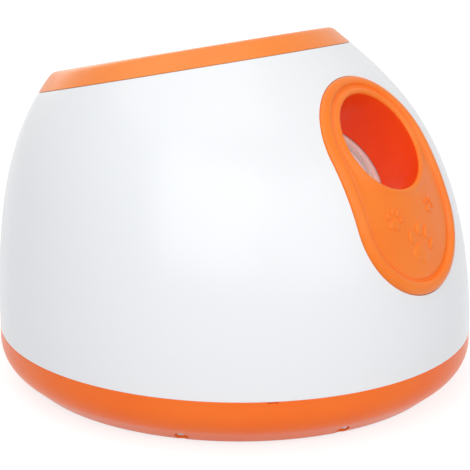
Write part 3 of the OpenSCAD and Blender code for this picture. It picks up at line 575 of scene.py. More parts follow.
@dataclass(frozen=True)
class Finish:
    """A surface: two near tones that drift into each other, and a fine grain.

    Attributes:
        name: The material's name, after its stuff and how it was made.
        colour: The main tone.
        shade: The second tone, which drifts in over drift_mm.
        roughness: Its least roughness.
        spread: How much rougher it gets in places.
        drift_mm: The size of the drifting patches.
        grain_mm: The size of the grain, drawn as coarse as it needs to show.
        grain_height_mm: How high the grain stands.
        grain_strength: How strongly the grain turns the light.
        metallic: 1 for a metal.
        ior: The index of refraction of what isn't a metal.
        glow: How far light goes on under the surface, as a share.
        glow_mm: How deep it goes.
        see_through: The share of light that passes.
        stretch: How much the grain is drawn out along each axis.
    """

    name: str
    colour: str
    shade: str
    roughness: float = 0.3
    spread: float = 0.08
    drift_mm: float = 40.0
    grain_mm: float = 1.2
    grain_height_mm: float = 0.02
    grain_strength: float = 0.15
    metallic: float = 0.0
    ior: float = 1.5
    glow: float = 0.0
    glow_mm: float = 1.0
    see_through: float = 0.0
    stretch: tuple[float, float, float] = (1.0, 1.0, 1.0)

    def build(self) -> bpy.types.Material:
        """Makes the material, once.

        Returns:
            The material.
        """
        if self.name in bpy.data.materials:
            return bpy.data.materials[self.name]
        material = bpy.data.materials.new(self.name)
        material.use_nodes = True
        tree = material.node_tree
        shader = tree.nodes["Principled BSDF"]
        for key, value in {
            "Metallic": self.metallic,
            "IOR": self.ior,
            "Transmission Weight": self.see_through,
            "Subsurface Weight": self.glow,
            "Subsurface Scale": self.glow_mm * MM,
        }.items():
            shader.inputs[key].default_value = value
        spot = add_node(tree, "ShaderNodeTexCoord").outputs["Object"]
        drawn = add_node(tree, "ShaderNodeMapping", {"Scale": self.stretch}, {"Vector": spot}).outputs[0]
        drift = add_node(
            tree, "ShaderNodeTexNoise", {"Scale": 1 / (self.drift_mm * MM), "Detail": 3.0}, {"Vector": drawn}
        )
        tone = add_node(
            tree, "ShaderNodeMix", {"data_type": "RGBA", 6: linear(self.colour), 7: linear(self.shade)},
            {0: self.paint(tree, spot, drift.outputs[0])},
        )
        tree.links.new(tone.outputs[2], shader.inputs["Base Color"])
        gloss = add_node(
            tree, "ShaderNodeMapRange",
            {"To Min": self.roughness, "To Max": self.roughness + self.spread}, {"Value": drift.outputs[0]},
        )
        tree.links.new(gloss.outputs[0], shader.inputs["Roughness"])
        grain = add_node(
            tree, "ShaderNodeTexNoise", {"Scale": 1 / (self.grain_mm * MM), "Detail": 2.0}, {"Vector": drawn}
        )
        bump = add_node(
            tree, "ShaderNodeBump",
            {"Strength": self.grain_strength, "Distance": self.grain_height_mm * MM},
            {"Height": grain.outputs[0]},
        )
        tree.links.new(bump.outputs[0], shader.inputs["Normal"])
        return material

    def paint(
        self, tree: bpy.types.NodeTree, spot: bpy.types.NodeSocket, drift: bpy.types.NodeSocket
    ) -> bpy.types.NodeSocket:
        """Gives the share of the second tone at each place: here, the drift itself."""
        return add_node(
            tree, "ShaderNodeMapRange", {"From Min": 0.35, "From Max": 0.65}, {"Value": drift}
        ).outputs[0]


@dataclass(frozen=True)
class BoardFinish(Finish):
    """A circuit board: thin tracks show under the solder mask."""

    track_mm: float = 2.2

    def paint(
        self, tree: bpy.types.NodeTree, spot: bpy.types.NodeSocket, drift: bpy.types.NodeSocket
    ) -> bpy.types.NodeSocket:
        """Gives the share of the track's tone: square cells with thin borders."""
        cells = add_node(
            tree, "ShaderNodeTexVoronoi",
            {"feature": "DISTANCE_TO_EDGE", "Scale": 1 / (self.track_mm * MM), "Randomness": 0.35},
            {"Vector": spot},
        )
        return add_node(
            tree, "ShaderNodeMapRange", {"From Min": 0.03, "From Max": 0.07}, {"Value": cells.outputs[0]}
        ).outputs[0]


@dataclass(frozen=True)
class BandFinish(Finish):
    """A cell's printed sleeve: one end in a second tone, with a crisp border."""

    border_mm: float = 17.0
    period_mm: float = 49.2

    def paint(
        self, tree: bpy.types.NodeTree, spot: bpy.types.NodeSocket, drift: bpy.types.NodeSocket
    ) -> bpy.types.NodeSocket:
        """Gives the share of the second tone by the distance along the row of cells."""
        place = add_node(tree, "ShaderNodeSeparateXYZ", None, {0: spot}).outputs[0]
        turned = add_node(
            tree, "ShaderNodeMath", {"operation": "PINGPONG", 1: self.period_mm * MM}, {0: place}
        ).outputs[0]
        return add_node(
            tree, "ShaderNodeMath", {"operation": "LESS_THAN", 1: self.border_mm * MM}, {0: turned}
        ).outputs[0]


class Slot(Enum):
    """The record's material slots with the finish each one has."""

    # Glossy ABS from a polished mould: even, a little cool, with the faintest orange peel.
    shell_white = Finish("abs_white_polished_mould", "#f3f4f4", "#f1f3f3", 0.24, 0.02, 160, 1.6, 0.012, 0.06)
    # Orange ABS, one plastic: the rim's colour is painted paler than the base's, as painted light from above.
    rim_orange = Finish("abs_orange_rim_painted_paler", "#fe8e36", "#fc8830", 0.30, 0.06, 35, 1.3, 0.014, 0.12,
                        ior=1.42)
    # The panel's colour is painted lighter than the base's, as a painted highlight on the same plastic.
    panel_orange = Finish("abs_orange_panel_painted_lighter", "#ff841f", "#fe7e18", 0.32, 0.06, 30, 1.2, 0.016, 0.14,
                          ior=1.42)
    base_orange = Finish("abs_orange_moulded_base", "#ff761f", "#fe6f18", 0.28, 0.06, 45, 1.4, 0.012, 0.10,
                         ior=1.36)
    button_white = Finish("abs_white_keycap", "#f2f2f1", "#ebebea", 0.28, 0.06, 12, 0.7, 0.012, 0.15)
    # Tinted acrylic light pipes let the board's lamps through.
    lens_green = Finish("acrylic_green_light_pipe", "#86d463", "#9be27c", 0.08, 0.04, 4, 0.8, 0.008, 0.1,
                        ior=1.49, see_through=0.55)
    inner_white = Finish("abs_natural_fine_texture", "#e2e3e5", "#d8dadd", 0.48, 0.1, 30, 0.8, 0.02, 0.3)
    soft_white = Finish("silicone_off_white", "#efece6", "#e4e0d8", 0.55, 0.1, 10, 0.6, 0.02, 0.3,
                        ior=1.41, glow=0.2, glow_mm=1.5)
    piston_white = Finish("acetal_white_turned", "#f2f2f1", "#e6e7e8", 0.34, 0.08, 18, 0.8, 0.014, 0.2,
                          glow=0.08)
    black_rubber = Finish("rubber_black_moulded", "#232325", "#2e2e31", 0.7, 0.15, 8, 0.5, 0.03, 0.5,
                          ior=1.52)
    # Natural nylon is milky: light goes some way in, and the faces keep a fine mould texture.
    gear_nylon = Finish("nylon_natural_moulded", "#ece7da", "#e2dccb", 0.42, 0.1, 9, 0.6, 0.02, 0.3,
                        ior=1.53, glow=0.15)
    dark_plastic = Finish("abs_black_spark_eroded", "#26272a", "#303236", 0.52, 0.12, 15, 0.5, 0.03, 0.45)
    board_green = BoardFinish("epoxy_green_solder_mask", "#2f7a4d", "#1d5a38", 0.3, 0.1, 15, 0.6, 0.015,
                              0.25)
    bush_brass = Finish("brass_turned", "#c9a35a", "#b88f45", 0.25, 0.15, 5, 0.3, 0.01, 0.25,
                        metallic=1.0, stretch=(6.0, 1.0, 1.0))
    cell_sleeve = BandFinish("steel_cell_printed_sleeve", "#3c434d", "#c98f4e", 0.3, 0.08, 20, 0.8, 0.01,
                             0.15)
    # Zinc plating has a soft, slightly blue sheen with fine drawing lines.
    steel = Finish("steel_zinc_plated", "#bfc3c7", "#a9adb2", 0.28, 0.18, 6, 0.35, 0.012, 0.3,
                   metallic=1.0, stretch=(1.0, 5.0, 1.0))
    lead_red = Finish("pvc_red_insulation", "#a8241b", "#96190f", 0.42, 0.1, 12, 0.6, 0.01, 0.2)
    lead_black = Finish("pvc_black_insulation", "#1d1e20", "#28292c", 0.42, 0.1, 12, 0.6, 0.01, 0.2)


def install(
    piece: bpy.types.Object, slot: Slot, *replaced: str, body: Body = Body.LAUNCHER, angle: Angle = Angle.SOFT
) -> None:
    """Dresses a finished piece and hands it over to its body.

    Args:
        piece: The piece, in place.
        slot: Its finish.
        replaced: The CAD nodes it stands for.
        body: The body it rides on.
        angle: The sharpest fold that shades smoothly.
    """
    smooth(piece, angle)
    piece.data.materials.clear()
    piece.data.materials.append(slot.value.build())
    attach(piece, body.value)
    if replaced:
        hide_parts(*replaced)
    LOG.info("%s: %d faces on %s", piece.name, len(piece.data.polygons), body.value)


# ---------------------------------------------------------------- the shells


@dataclass
class Shells:
    """The white housing and the orange base it stands on."""

    wall: float = 2.8
    seam: float = 32.0
    band: float = 11.2
    flange: float = 2.6
    flange_bore: float = 87.0
    fit: float = 0.3
    well_radius: float = 137.5
    well_angles: tuple[float, ...] = (-63, -24, 24, 63, 136, -136)
    floor_radius: float = 134.5
    foot_height: float = 2.0
    arc_radius: float = 20.0
    arc_height: float = 25.0
    arc_end: float = 48.0
    feet: tuple[tuple[float, float], ...] = ((77, -81), (-77, -81), (77, 81), (-77, 81))
    bay_centre: float = -76.0
    bay_half: tuple[float, float] = (52.5, 39.5)
    door_screws: tuple[float, float] = (-121.95, -28.55)
    notch_angles: tuple[float, ...] = (-42.6, 42.6)

    def well(self, angle: float) -> Matrix:
        """The place of a screw well on the base."""
        return spin("Z", angle) @ shift(0, -self.well_radius, 0)

    def build(self) -> None:
        """Makes and installs both shells."""
        install(self.housing(), Slot.shell_white, "main_housing")
        install(self.base(), Slot.base_orange, "base_tray")
        install(self.rubber_feet(), Slot.black_rubber, "rubber_feet")

    def housing(self) -> bpy.types.Object:
        """Hollows the dome and opens it for the hopper, the panel and the controls."""
        shell = dome_solid(0, 0, -self.band - 0.12)
        combine(shell, dome_solid(self.wall, 1, -self.band - self.flange), Join.CUT)
        combine(shell, cutter(self.flange_bore, -40, 20, RIM, 128), Join.CUT)
        panel, controls = OutletPanel(), Controls()
        opening = capsule_slab(panel.half_width + self.fit, panel.half_gap, -60, 60, PANEL)
        combine(shell, opening, Join.CUT)
        combine(shell, controls.slab(self.fit), Join.CUT)
        combine(shell, cutter(5.6, 0, 60, shift(0, 180, controls.socket) @ spin("X", 90)), Join.CUT)
        parts = [shell, self.tongue()]
        for angle in self.well_angles:
            parts += [bar(4, 12.8, 57, self.well(angle)),
                      block((-1.5, -9.0, self.seam + 2), (1.5, -3.5, 60), self.well(angle), 0.3)]
        tops = to_local(PANEL, DOME.meet(PANEL, np.array(PANEL_SCREWS), -self.wall - 0.4))[:, 2]
        parts += [bar(4, -14.2, top, PANEL @ shift(x, v, 0)) for (x, v), top in zip(PANEL_SCREWS, tops)]
        return join("white_housing", *parts)

    def tongue(self) -> bpy.types.Object:
        """The ring inside the seam that the base slips over."""
        outer = DOME.radii[0] - self.wall - 0.7
        section = [(-1.8, -4.5), (-0.4, -5), (0, -4.4), (0, 0.6),
                   (1.4, 0.7), (1.4, 4), (-1.8, 4), (-1.8, -4.5)]
        return raise_rings("tongue", [(outer + r, self.seam + z) for r, z in section], 192, looped=True)

    def base(self) -> bpy.types.Object:
        """Turns the tray, adds its posts and the battery bay, and cuts its recesses."""
        tray = raise_rings("base_ring", self.tray_rings(), 256)
        posts = [bar(6.2, self.foot_height + 1, 12.5, self.well(a)) for a in self.well_angles]
        posts += [bar(4, self.foot_height + 1, 14, shift(x, -9, 0)) for x in (-38, 38)]
        x, y = self.bay_half[0] + 3, self.bay_half[1] + 3
        posts.append(block((-x, self.bay_centre - y, self.foot_height + 1),
                           (x, self.bay_centre + y, 34.4), HERE, 0.4))
        core = raise_rings("core", [(r - 1, z) for r, z in self.outer_side()], 128)
        posts = join("posts", *posts)
        combine(posts, core, Join.KEEP)
        combine(tray, posts, Join.ADD)
        floor = self.foot_height
        well = [(4.35, -1), (4.35, floor), (4, floor + 0.5), (4, 9), (1.7, 9.01), (1.7, 14)]
        tools = [raise_rings("well", well, 48, self.well(a)) for a in self.well_angles]
        tools += [cutter(8.15, -1, self.foot_height + 1.2, shift(x, y, 0)) for x, y in self.feet]
        for angle in self.notch_angles:
            tools.append(block((-3, -151, self.seam - 0.9), (3, -148.6, self.seam + 1), spin("Z", angle)))
        combine(tray, join("tools", *tools), Join.CUT)
        bay = shift(0, self.bay_centre, 0)
        combine(tray, rounded_slab((54, 41), 1.2, -1, 4.8, bay, 4), Join.CUT)
        ear = [(6, -1), (6, 4.79), (1.45, 4.8), (1.45, 13.5)]
        ears = [raise_rings("ear", ear, 48, shift(0, y, 0)) for y in self.door_screws]
        combine(tray, join("ears", *ears), Join.CUT)
        x, y = self.bay_half
        combine(tray, block((-x, -y, 3), (x, y, 32), bay), Join.CUT)
        return join("orange_base", tray)

    def outer_side(self) -> list[tuple[float, float]]:
        """The tray's rounded side from the floor up to just under the seam."""
        centre = DOME.radii[0] - self.arc_radius
        side = [(self.floor_radius + 0.5, self.foot_height + 0.9)]
        for i in range(12, -1, -1):
            angle = math.radians(self.arc_end * i / 12)
            side.append((centre + self.arc_radius * math.cos(angle),
                         self.arc_height - self.arc_radius * math.sin(angle)))
        return side + [(150, 28)]

    def tray_rings(self) -> list[tuple[float, float]]:
        """The tray's section: out along the floor, up the rounded side, back down inside."""
        centre, arc = DOME.radii[0] - self.arc_radius, self.arc_radius - self.wall
        floor, edge, top = self.foot_height, self.floor_radius, self.seam - 0.05
        outer = [(20.0, floor), (60, floor), (110, floor), (edge - 1.2, floor), (edge - 0.2, floor + 0.25)]
        outer += self.outer_side() + [(150, top - 0.4), (149.6, top), (148.2, top), (147.2, top - 0.1)]
        for i in range(0, 13, 2):
            angle = math.radians(self.arc_end * i / 12)
            outer.append((centre + arc * math.cos(angle), self.arc_height - arc * math.sin(angle)))
        return outer + [(r, floor + self.wall) for r in (edge - 2.5, 60, 20)]

    def rubber_feet(self) -> bpy.types.Object:
        """Four feet with a rounded edge and a dished sole."""
        rings = [(5.0, 0.25), (5.6, 0.02), (6.9, 0.0), (7.7, 0.3), (8.0, 0.95), (8.0, 3.1)]
        feet = [raise_rings("foot", rings, 64, shift(x, y, 0)) for x, y in self.feet]
        return join("rubber_feet_moulded", *feet)


@dataclass
class Hopper:
    """The orange rim and bowl on top, and the throat that feeds the barrel."""

    around: int = 256
    band: float = 11.2
    mouth: float = 84.0
    drop: float = 15.0
    ledge: float = 1.0
    skin: float = 2.5
    edge: float = 2.4
    throat: float = 28.0
    throat_depth: float = 66.0
    throat_top: float = 54.0
    throat_low: float = 38.6
    screw_angles: tuple[float, ...] = (35, 145, 215, 325)

    def build(self) -> None:
        """Makes and installs the hopper."""
        piece = loft("hopper_skin", self.rings())
        depth = self.throat_depth
        lever_slot = block((-34, 45, -(depth + 15)), (-20, 51.2, -(depth - 4)), BARREL)
        combine(piece, lever_slot, Join.CUT)
        seats = [RIM @ spin("Z", a) @ shift(HOPPER_SCREW_REACH, 0, 0) for a in self.screw_angles]
        bosses = join("bosses", *[bar(3.2, -self.band, -1.5, seat, 32) for seat in seats])
        combine(bosses, dome_solid(1.2, 0, -1.6, 40, 128), Join.KEEP)
        install(join("orange_hopper", piece, bosses), Slot.rim_orange, "hopper_funnel")

    def angles(self) -> np.ndarray:
        """Even steps round a ring."""
        return np.linspace(0, 2 * math.pi, self.around, endpoint=False)

    def circle(self, radius: np.ndarray | float, height: float) -> np.ndarray:
        """A ring round the bowl's axis, at a height over the rim plane."""
        turn = self.angles()
        flat = [radius * np.cos(turn), radius * np.sin(turn), np.full(self.around, height)]
        return to_world(RIM, np.stack(flat, -1))

    def throat_circle(self, radius: float, height: float) -> np.ndarray:
        """A ring round the throat, which stands square to the barrel."""
        turn = self.angles()
        flat = [radius * np.cos(turn), np.full(self.around, height),
                -self.throat_depth - radius * np.sin(turn)]
        return to_world(BARREL, np.stack(flat, -1))

    def rings(self) -> np.ndarray:
        """The skin's rings: up the outside, over the rim, down the bowl and back outside."""
        angles, low = self.angles(), -self.band + 0.12
        levels = (low, low + 0.25, -8.5, -6.0, -4.0, -self.edge, 0.0)
        reach = {h: DOME.rim_reach(angles, h, 0.0) for h in levels}
        rings = [self.circle(reach[low] - 0.25, low), self.circle(reach[low + 0.25], low + 0.25)]
        rings += [self.circle(reach[h], h) for h in (-8.5, -6.0, -4.0, -self.edge)]
        start, corner = rings[-1], self.circle(reach[0.0], 0.0)
        end = self.circle(reach[0.0] - self.edge, 0.0)
        for t in (0.2, 0.4, 0.6, 0.8, 1.0):
            rings.append(bend(start, corner, end, t))
        rings.append(self.circle((reach[0.0] - self.edge + self.mouth + 1.6) / 2, 0.0))
        for i in range(6):
            turn = math.radians(90 * i / 5)
            rings.append(self.circle(self.mouth + 1.6 * (1 - math.sin(turn)), -1.6 * (1 - math.cos(turn))))
        rings += [self.circle(self.mouth, height) for height in (-5.0, -10.0, -self.drop + 0.6)]
        rings += self.cone(self.mouth - self.ledge, self.throat + 0.6, -self.drop, self.throat_top, 22)
        inner, outer, foot = self.throat, self.throat + self.skin, self.throat_low
        rings += [self.throat_circle(inner, height) for height in (self.throat_top - 2.5, 48, 43, foot + 0.4)]
        rings += [self.throat_circle(inner + 0.4, foot), self.throat_circle(outer - 0.4, foot)]
        rings += [self.throat_circle(outer, foot + 0.4), self.throat_circle(outer, self.throat_top - 1.5)]
        rings += self.cone(self.mouth - self.ledge + self.skin, self.throat + 0.6 + self.skin,
                           -self.drop, self.throat_top, 10)[::-1]
        rings += [self.circle(self.mouth + self.skin, height) for height in (-self.drop + 1, -2.8)]
        rings += [self.circle(DOME.rim_reach(angles, h, -2.8), h) for h in (-2.8, low)]
        return np.array(rings)

    def cone(self, top: float, bottom: float, high: float, low: float, steps: int) -> list[np.ndarray]:
        """Rings of the leaning cone between the bowl's ledge and the throat.

        Args:
            top: Its radius under the ledge.
            bottom: Its radius at the throat.
            high: Its start over the rim plane.
            low: Its end over the barrel's axis.
            steps: Rings between the two.

        Returns:
            The rings, from the top down.
        """
        first, last = self.circle(top, high), self.throat_circle(bottom, low)
        return [first + (last - first) * t for t in np.linspace(0, 1, steps + 1)]


# ---------------------------------------------------------------- the outlet


@dataclass
class OutletPanel:
    """The capsule-shaped panel with its raised border, recessed field, tube and paw prints."""

    around: int = 256
    half_width: float = 46.9
    half_gap: float = 20.5
    tube: float = 31.0
    tube_wall: float = 2.5
    tube_end: float = 31.0
    back: float = -5.4
    field_level: float = -0.6
    field_dip: float = 0.5
    # Border section: how far in from the edge, and how high, ending in the fine groove.
    border: tuple[tuple[float, float], ...] = (
        (0.0, -0.35), (0.12, 0.45), (0.45, 1.15), (1.0, 1.7), (1.8, 2.1), (2.8, 2.32), (3.9, 2.38),
        (5.0, 2.2), (5.9, 1.75), (6.6, 1.1), (7.1, 0.35), (7.4, -0.4), (7.7, -0.95), (8.2, -1.15),
        (8.7, -0.95), (9.2, -0.6))
    border_width: float = 9.2
    flange: float = 3.4
    lip: float = 5.0
    # The tube's inside: the panel's plastic painted a deeper tone, as painted shade in the tube.
    inside: Finish = Finish("abs_orange_tube_painted_shade", "#ff5210", "#fd4a0a", 0.34, 0.06, 30, 1.2, 0.016, 0.14,
                            ior=1.42)
    paw_rise: float = 1.0
    # Each print's place across and up the panel, its height and its turn.
    paws: tuple[tuple[float, float, float, float], ...] = (
        (0.6, -39.8, 24.5, -21.0), (-19.0, -21.7, 13.2, -22.0), (17.6, -19.7, 10.0, -26.0))

    def build(self) -> None:
        """Makes and installs the panel with its paw prints."""
        parts = [loft("outlet_skin", self.rings())]
        for x, v in PANEL_SCREWS:
            parts += self.ear(x, v)
        panel = join("outlet_panel", *parts)
        install(panel, Slot.panel_orange, "outlet_bezel")
        self.deepen(panel)
        pads = [pad for x, v, size, turn in self.paws for pad in self.paw(x, v, size, turn)]
        install(join("paw_prints", *pads), Slot.panel_orange)

    def deepen(self, panel: bpy.types.Object) -> None:
        """Paints the tube's inside a deeper tone of the same plastic: painted shade inside the tube."""
        panel.data.materials.append(self.inside.build())
        centres = np.array([face.center[:] for face in panel.data.polygons]) / MM
        place = to_local(BARREL, centres)
        # Faces inside the tube get the painted shade.
        in_painted_shade = np.hypot(place[:, 0], place[:, 1]) < self.tube + 0.15
        for face, is_inside in zip(panel.data.polygons, in_painted_shade):
            face.material_index = int(is_inside)

    def ear(self, x: float, v: float) -> list[bpy.types.Object]:
        """One of the lugs inside that the panel's screws hold."""
        place, side = PANEL @ shift(0, v, -16.7), math.copysign(1, x)
        inner, outer = sorted((side * 42.5, side * 60))
        near, far = sorted((side * 42.5, side * 46.5))
        lug = block((inner, -5, 0), (outer, 5, 2.5), place, 0.3)
        combine(lug, cutter(1.7, -2, 6, place @ shift(x, 0, 0), 32), Join.CUT)
        return [lug, block((near, -5, 0.6), (far, 5, 12), place, 0.3)]

    def outline(self) -> tuple[np.ndarray, np.ndarray]:
        """Points evenly round the capsule's edge, and the way out of it at each.

        Returns:
            The points and the outward directions, in the panel's plane.
        """
        arc, side = math.pi * self.half_width, 2 * self.half_gap
        walk = np.linspace(0, 2 * (arc + side), self.around, endpoint=False)
        points, ways = np.zeros((self.around, 2)), np.zeros((self.around, 2))
        for i, s in enumerate(walk):
            half, s = (1, s) if s < arc + side else (-1, s - arc - side)
            if s < arc:
                turn = s / self.half_width
                way = np.array([math.cos(turn), math.sin(turn)])
                point = self.half_width * way + np.array([0, self.half_gap])
            else:
                way = np.array([-1.0, 0.0])
                point = np.array([-self.half_width, self.half_gap - (s - arc)])
            points[i], ways[i] = half * point, half * way
        return points, ways

    def even_out(self, widths: np.ndarray, reach: int = 9) -> np.ndarray:
        """Smooths a width along the ring, so that no corner shows where it starts to change."""
        for _ in range(3):
            widths = np.mean([np.roll(widths, k) for k in range(-reach, reach + 1)], axis=0)
        return widths

    def tube_ring(self, radius: np.ndarray | float, turn: np.ndarray, lift: float) -> np.ndarray:
        """Where a round wall about the barrel's axis meets the dome raised by lift."""
        flat = np.stack([radius * np.cos(turn), radius * np.sin(turn)], -1)
        return DOME.meet(BARREL, flat, lift)

    def tube_depth(self, radius: float, turn: np.ndarray, depth: np.ndarray | float) -> np.ndarray:
        """A ring about the barrel's axis at a depth behind the mouth."""
        flat = [radius * np.cos(turn), radius * np.sin(turn), -depth * np.ones(self.around)]
        return to_world(BARREL, np.stack(flat, -1))

    def rings(self) -> np.ndarray:
        """The skin's rings: flange, border, field, lip, tube and back."""
        edge, ways = self.outline()
        hub = to_local(PANEL, self.tube_ring(0.0, np.zeros(1), 0.0))[0, :2]
        wide = self.border_width
        sight = edge - wide * ways - hub
        turn = np.arctan2(sight[:, 1], sight[:, 0])
        mouth = to_local(PANEL, self.tube_ring(self.tube, turn, 0.0))[:, :2]
        room = np.linalg.norm(edge - mouth, axis=1)
        # Where the tube comes near the edge, the border and the lip share the room that is left.
        share = self.even_out(np.clip((room - 0.8 - 4.2) / wide, 0.6, 1.0))
        lip = self.even_out(np.minimum(self.lip, room - wide * share - 0.8))

        def at(offset: np.ndarray | float, lift: float) -> np.ndarray:
            """A ring that runs beside the capsule's edge."""
            return DOME.meet(PANEL, edge - ways * (np.ones(self.around) * offset)[:, None], lift)

        rings = [at(-self.flange, self.back), at(-self.flange, -3.1), at(0.0, -3.1)]
        rings += [at(offset * share, lift) for offset, lift in self.border]
        start = edge - ways * (wide * share)[:, None]
        end = to_local(PANEL, self.tube_ring(self.tube + lip, turn, self.field_level))[:, :2]
        for i in range(1, 29):
            t = i / 29
            dip = self.field_level - self.field_dip * math.sin(math.pi * t)
            rings.append(DOME.meet(PANEL, start + (end - start) * t, dip))
        rings.append(self.tube_ring(self.tube + lip, turn, self.field_level))
        rings.append(self.tube_ring(self.tube + lip * 0.82, turn, -0.25))
        crest = self.tube_ring(self.tube + lip * 0.62, turn, 0.25)
        corner = self.tube_ring(self.tube, turn, 0.35)
        start_depth = -to_local(BARREL, corner)[:, 2] + 4.0
        wall = self.tube_depth(self.tube, turn, start_depth)
        for t in np.linspace(0, 1, 9):
            rings.append(bend(crest, corner, wall, t))
        way, outer = self.tube_end - 0.3 - start_depth, self.tube + self.tube_wall
        rings += [self.tube_depth(self.tube, turn, start_depth + way * t) for t in np.linspace(0, 1, 9)[1:]]
        for radius, depth in ((self.tube + 0.3, 0.0), (outer - 0.3, 0.0), (outer, 0.3)):
            rings.append(self.tube_depth(radius, turn, self.tube_end - depth))
        under = self.tube_ring(outer, turn, self.back)
        depth = -to_local(BARREL, under)[:, 2]
        rings.append(self.tube_depth(outer, turn, (depth + self.tube_end) / 2))
        rings.append(under)
        first, last = to_local(PANEL, under)[:, :2], edge + ways * self.flange
        for i in range(1, 20):
            rings.append(DOME.meet(PANEL, first + (last - first) * i / 20, self.back))
        return np.array(rings)

    def paw(self, x: float, v: float, size: float, turn: float) -> list[bpy.types.Object]:
        """A plain paw print: one broad pad and four toes, raised from the field.

        Args:
            x: Its centre across the panel.
            v: Its centre up the panel.
            size: Its height.
            turn: Its turn from upright, in degrees.

        Returns:
            The five pads.
        """
        # Place, half width and half height as shares of the print's, lean and notch.
        pads = [(0.0, -0.2, 0.33, 0.27, 0.0, 0.35)]
        pads += [(side * 0.42, 0.1, 0.105, 0.155, side * -24.0, 0.0) for side in (-1, 1)]
        pads += [(side * 0.155, 0.34, 0.115, 0.165, side * -8.0, 0.0) for side in (-1, 1)]
        made = []
        for px, pv, half_x, half_v, lean, notch in pads:
            pad = self.pad(half_x * size, half_v * size, notch)
            place = spin("Z", turn) @ shift(px * size, pv * size, 0) @ spin("Z", lean)
            pad.data.transform(shift(x, v, 0) @ place)
            points = np.array([p.co[:] for p in pad.data.vertices]) / MM
            lay(pad, DOME.meet(PANEL, points[:, :2], points[:, 2]))
            tidy_normals(pad)
            made.append(pad)
        return made

    def pad(self, half_x: float, half_v: float, notch: float) -> bpy.types.Object:
        """One pad, flat: a circle drawn up, rounded over and pressed to its outline.

        Args:
            half_x: Half its width.
            half_v: Half its height.
            notch: How far its lower edge is drawn in at the middle, as a share.

        Returns:
            The pad, with its height in the field's levels.
        """
        base = self.field_level - self.field_dip
        steps = ((1.0, -0.8), (1.0, 0.0), (0.97, 0.35), (0.9, 0.62), (0.76, 0.85), (0.5, 0.97), (0.2, 1.0))
        piece = raise_rings("pad", [(s, base + self.paw_rise * h) for s, h in steps], 36)
        for point in piece.data.vertices:
            x, y = point.co.x / MM, point.co.y / MM
            if notch:
                x *= 1.0 - 0.28 * y
                y += notch * max(0.0, -y) * max(0.0, 1 - (x / 0.45) ** 2)
            point.co.x, point.co.y = x * half_x * MM, y * half_v * MM
        return piece


# ---------------------------------------------------------------- the launcher's inside


@dataclass
class LaunchWorks:
    """What can be seen down the outlet, and the spring behind it."""

    rest: float = 35.5
    length: float = 60.0
    bore: float = 29.5
    bumper_outer: float = 31.0
    bumper_inner: float = 28.0
    spring_radius: float = 11.0
    wire: float = 1.0
    wire_sides: int = 14
    turns: int = 11
    spring_front: float = 40.7
    spring_back: float = 163.8
    stroke: float = 60.0

    def build(self) -> None:
        """Makes and installs the piston, the bumper and the spring."""
        install(self.piston(), Slot.piston_white, "piston", body=Body.PISTON)
        install(self.bumper(), Slot.soft_white, "barrel_bumper")
        spring = self.spring()
        install(spring, Slot.steel, "main_spring")
        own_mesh(spring)

    def piston(self) -> bpy.types.Object:
        """A dished face with a bright turned edge, the ring's groove and the rack's rib."""
        r = self.bore - 0.3
        groove = r - 1.7
        profile = [(4.0, 0.5), (10.0, 0.5), (20.0, 0.45), (24.5, 0.2), (26.0, 0.05), (26.8, 0.0), (28.6, 0.0),
                   (28.95, 0.1), (29.15, 0.35), (r, 0.8), (r, 4.0), (groove, 4.02), (groove, 6.38), (r, 6.4),
                   (r, 59.4), (r - 0.5, self.length), (r - 1.8, self.length), (r - 2.2, 59.5), (r - 2.2, 9.0),
                   (r - 4.7, 8.9), (r - 4.7, 4.0), (4.0, 4.0)]
        body = raise_rings("piston_body", [(pr, -pz) for pr, pz in profile], 128, along_barrel(self.rest))
        combine(body, block((-3.4, 23.8, -200), (3.4, 40, -52.5), BARREL), Join.CUT)
        ribs = [block((low, 17.5, -95.4), (high, 28.0, -48.0), BARREL, 0.3)
                for low, high in ((-6, -3.05), (3.05, 6))]
        ribs.append(block((-3.1, 17.5, -95.4), (3.1, 21.45, -48.0), BARREL, 0.2))
        return join("white_piston", body, *ribs)

    def bumper(self) -> bpy.types.Object:
        """The soft ring that the piston stops against, with rounded inner edges."""
        low, high = self.rest - 0.25, self.rest - 4.15
        edge = [(0.0, 1.4), (0.3, 0.6), (0.9, 0.15), (1.7, 0.0)]
        rings = [(self.bumper_outer, -low), (self.bumper_inner, -low)]
        rings += [(self.bumper_inner + out, -high - deep) for out, deep in edge]
        rings += [(self.bumper_outer, -high), (self.bumper_outer, -low)]
        return raise_rings("soft_bumper", rings, 128, BARREL, looped=True)

    def spring(self) -> bpy.types.Object:
        """A coil of round wire: a circle carried round the barrel's axis."""
        pitch = (self.spring_back - self.spring_front) / self.turns
        bpy.ops.mesh.primitive_circle_add(
            vertices=self.wire_sides, radius=self.wire * MM, rotation=(math.pi / 2, 0, 0),
            location=(self.spring_radius * MM, 0, 0),
        )
        coil = adopt("wound_spring")
        turn = coil.modifiers.new("coil", "SCREW")
        turn.axis, turn.iterations, turn.steps, turn.render_steps = "Z", self.turns, 32, 32
        turn.screw_offset, turn.angle, turn.use_merge_vertices = -pitch * MM, 2 * math.pi, False
        choose(coil)
        bpy.ops.object.modifier_apply(modifier=turn.name)
        with editing(coil):
            bpy.context.tool_settings.mesh_select_mode = (False, True, False)
            bpy.ops.mesh.select_non_manifold(extend=False, use_multi_face=False, use_verts=False)
            bpy.ops.mesh.fill_holes(sides=self.wire_sides)
        tidy_normals(coil)
        coil.data.transform(along_barrel(self.spring_front))
        return coil


# ---------------------------------------------------------------- the back


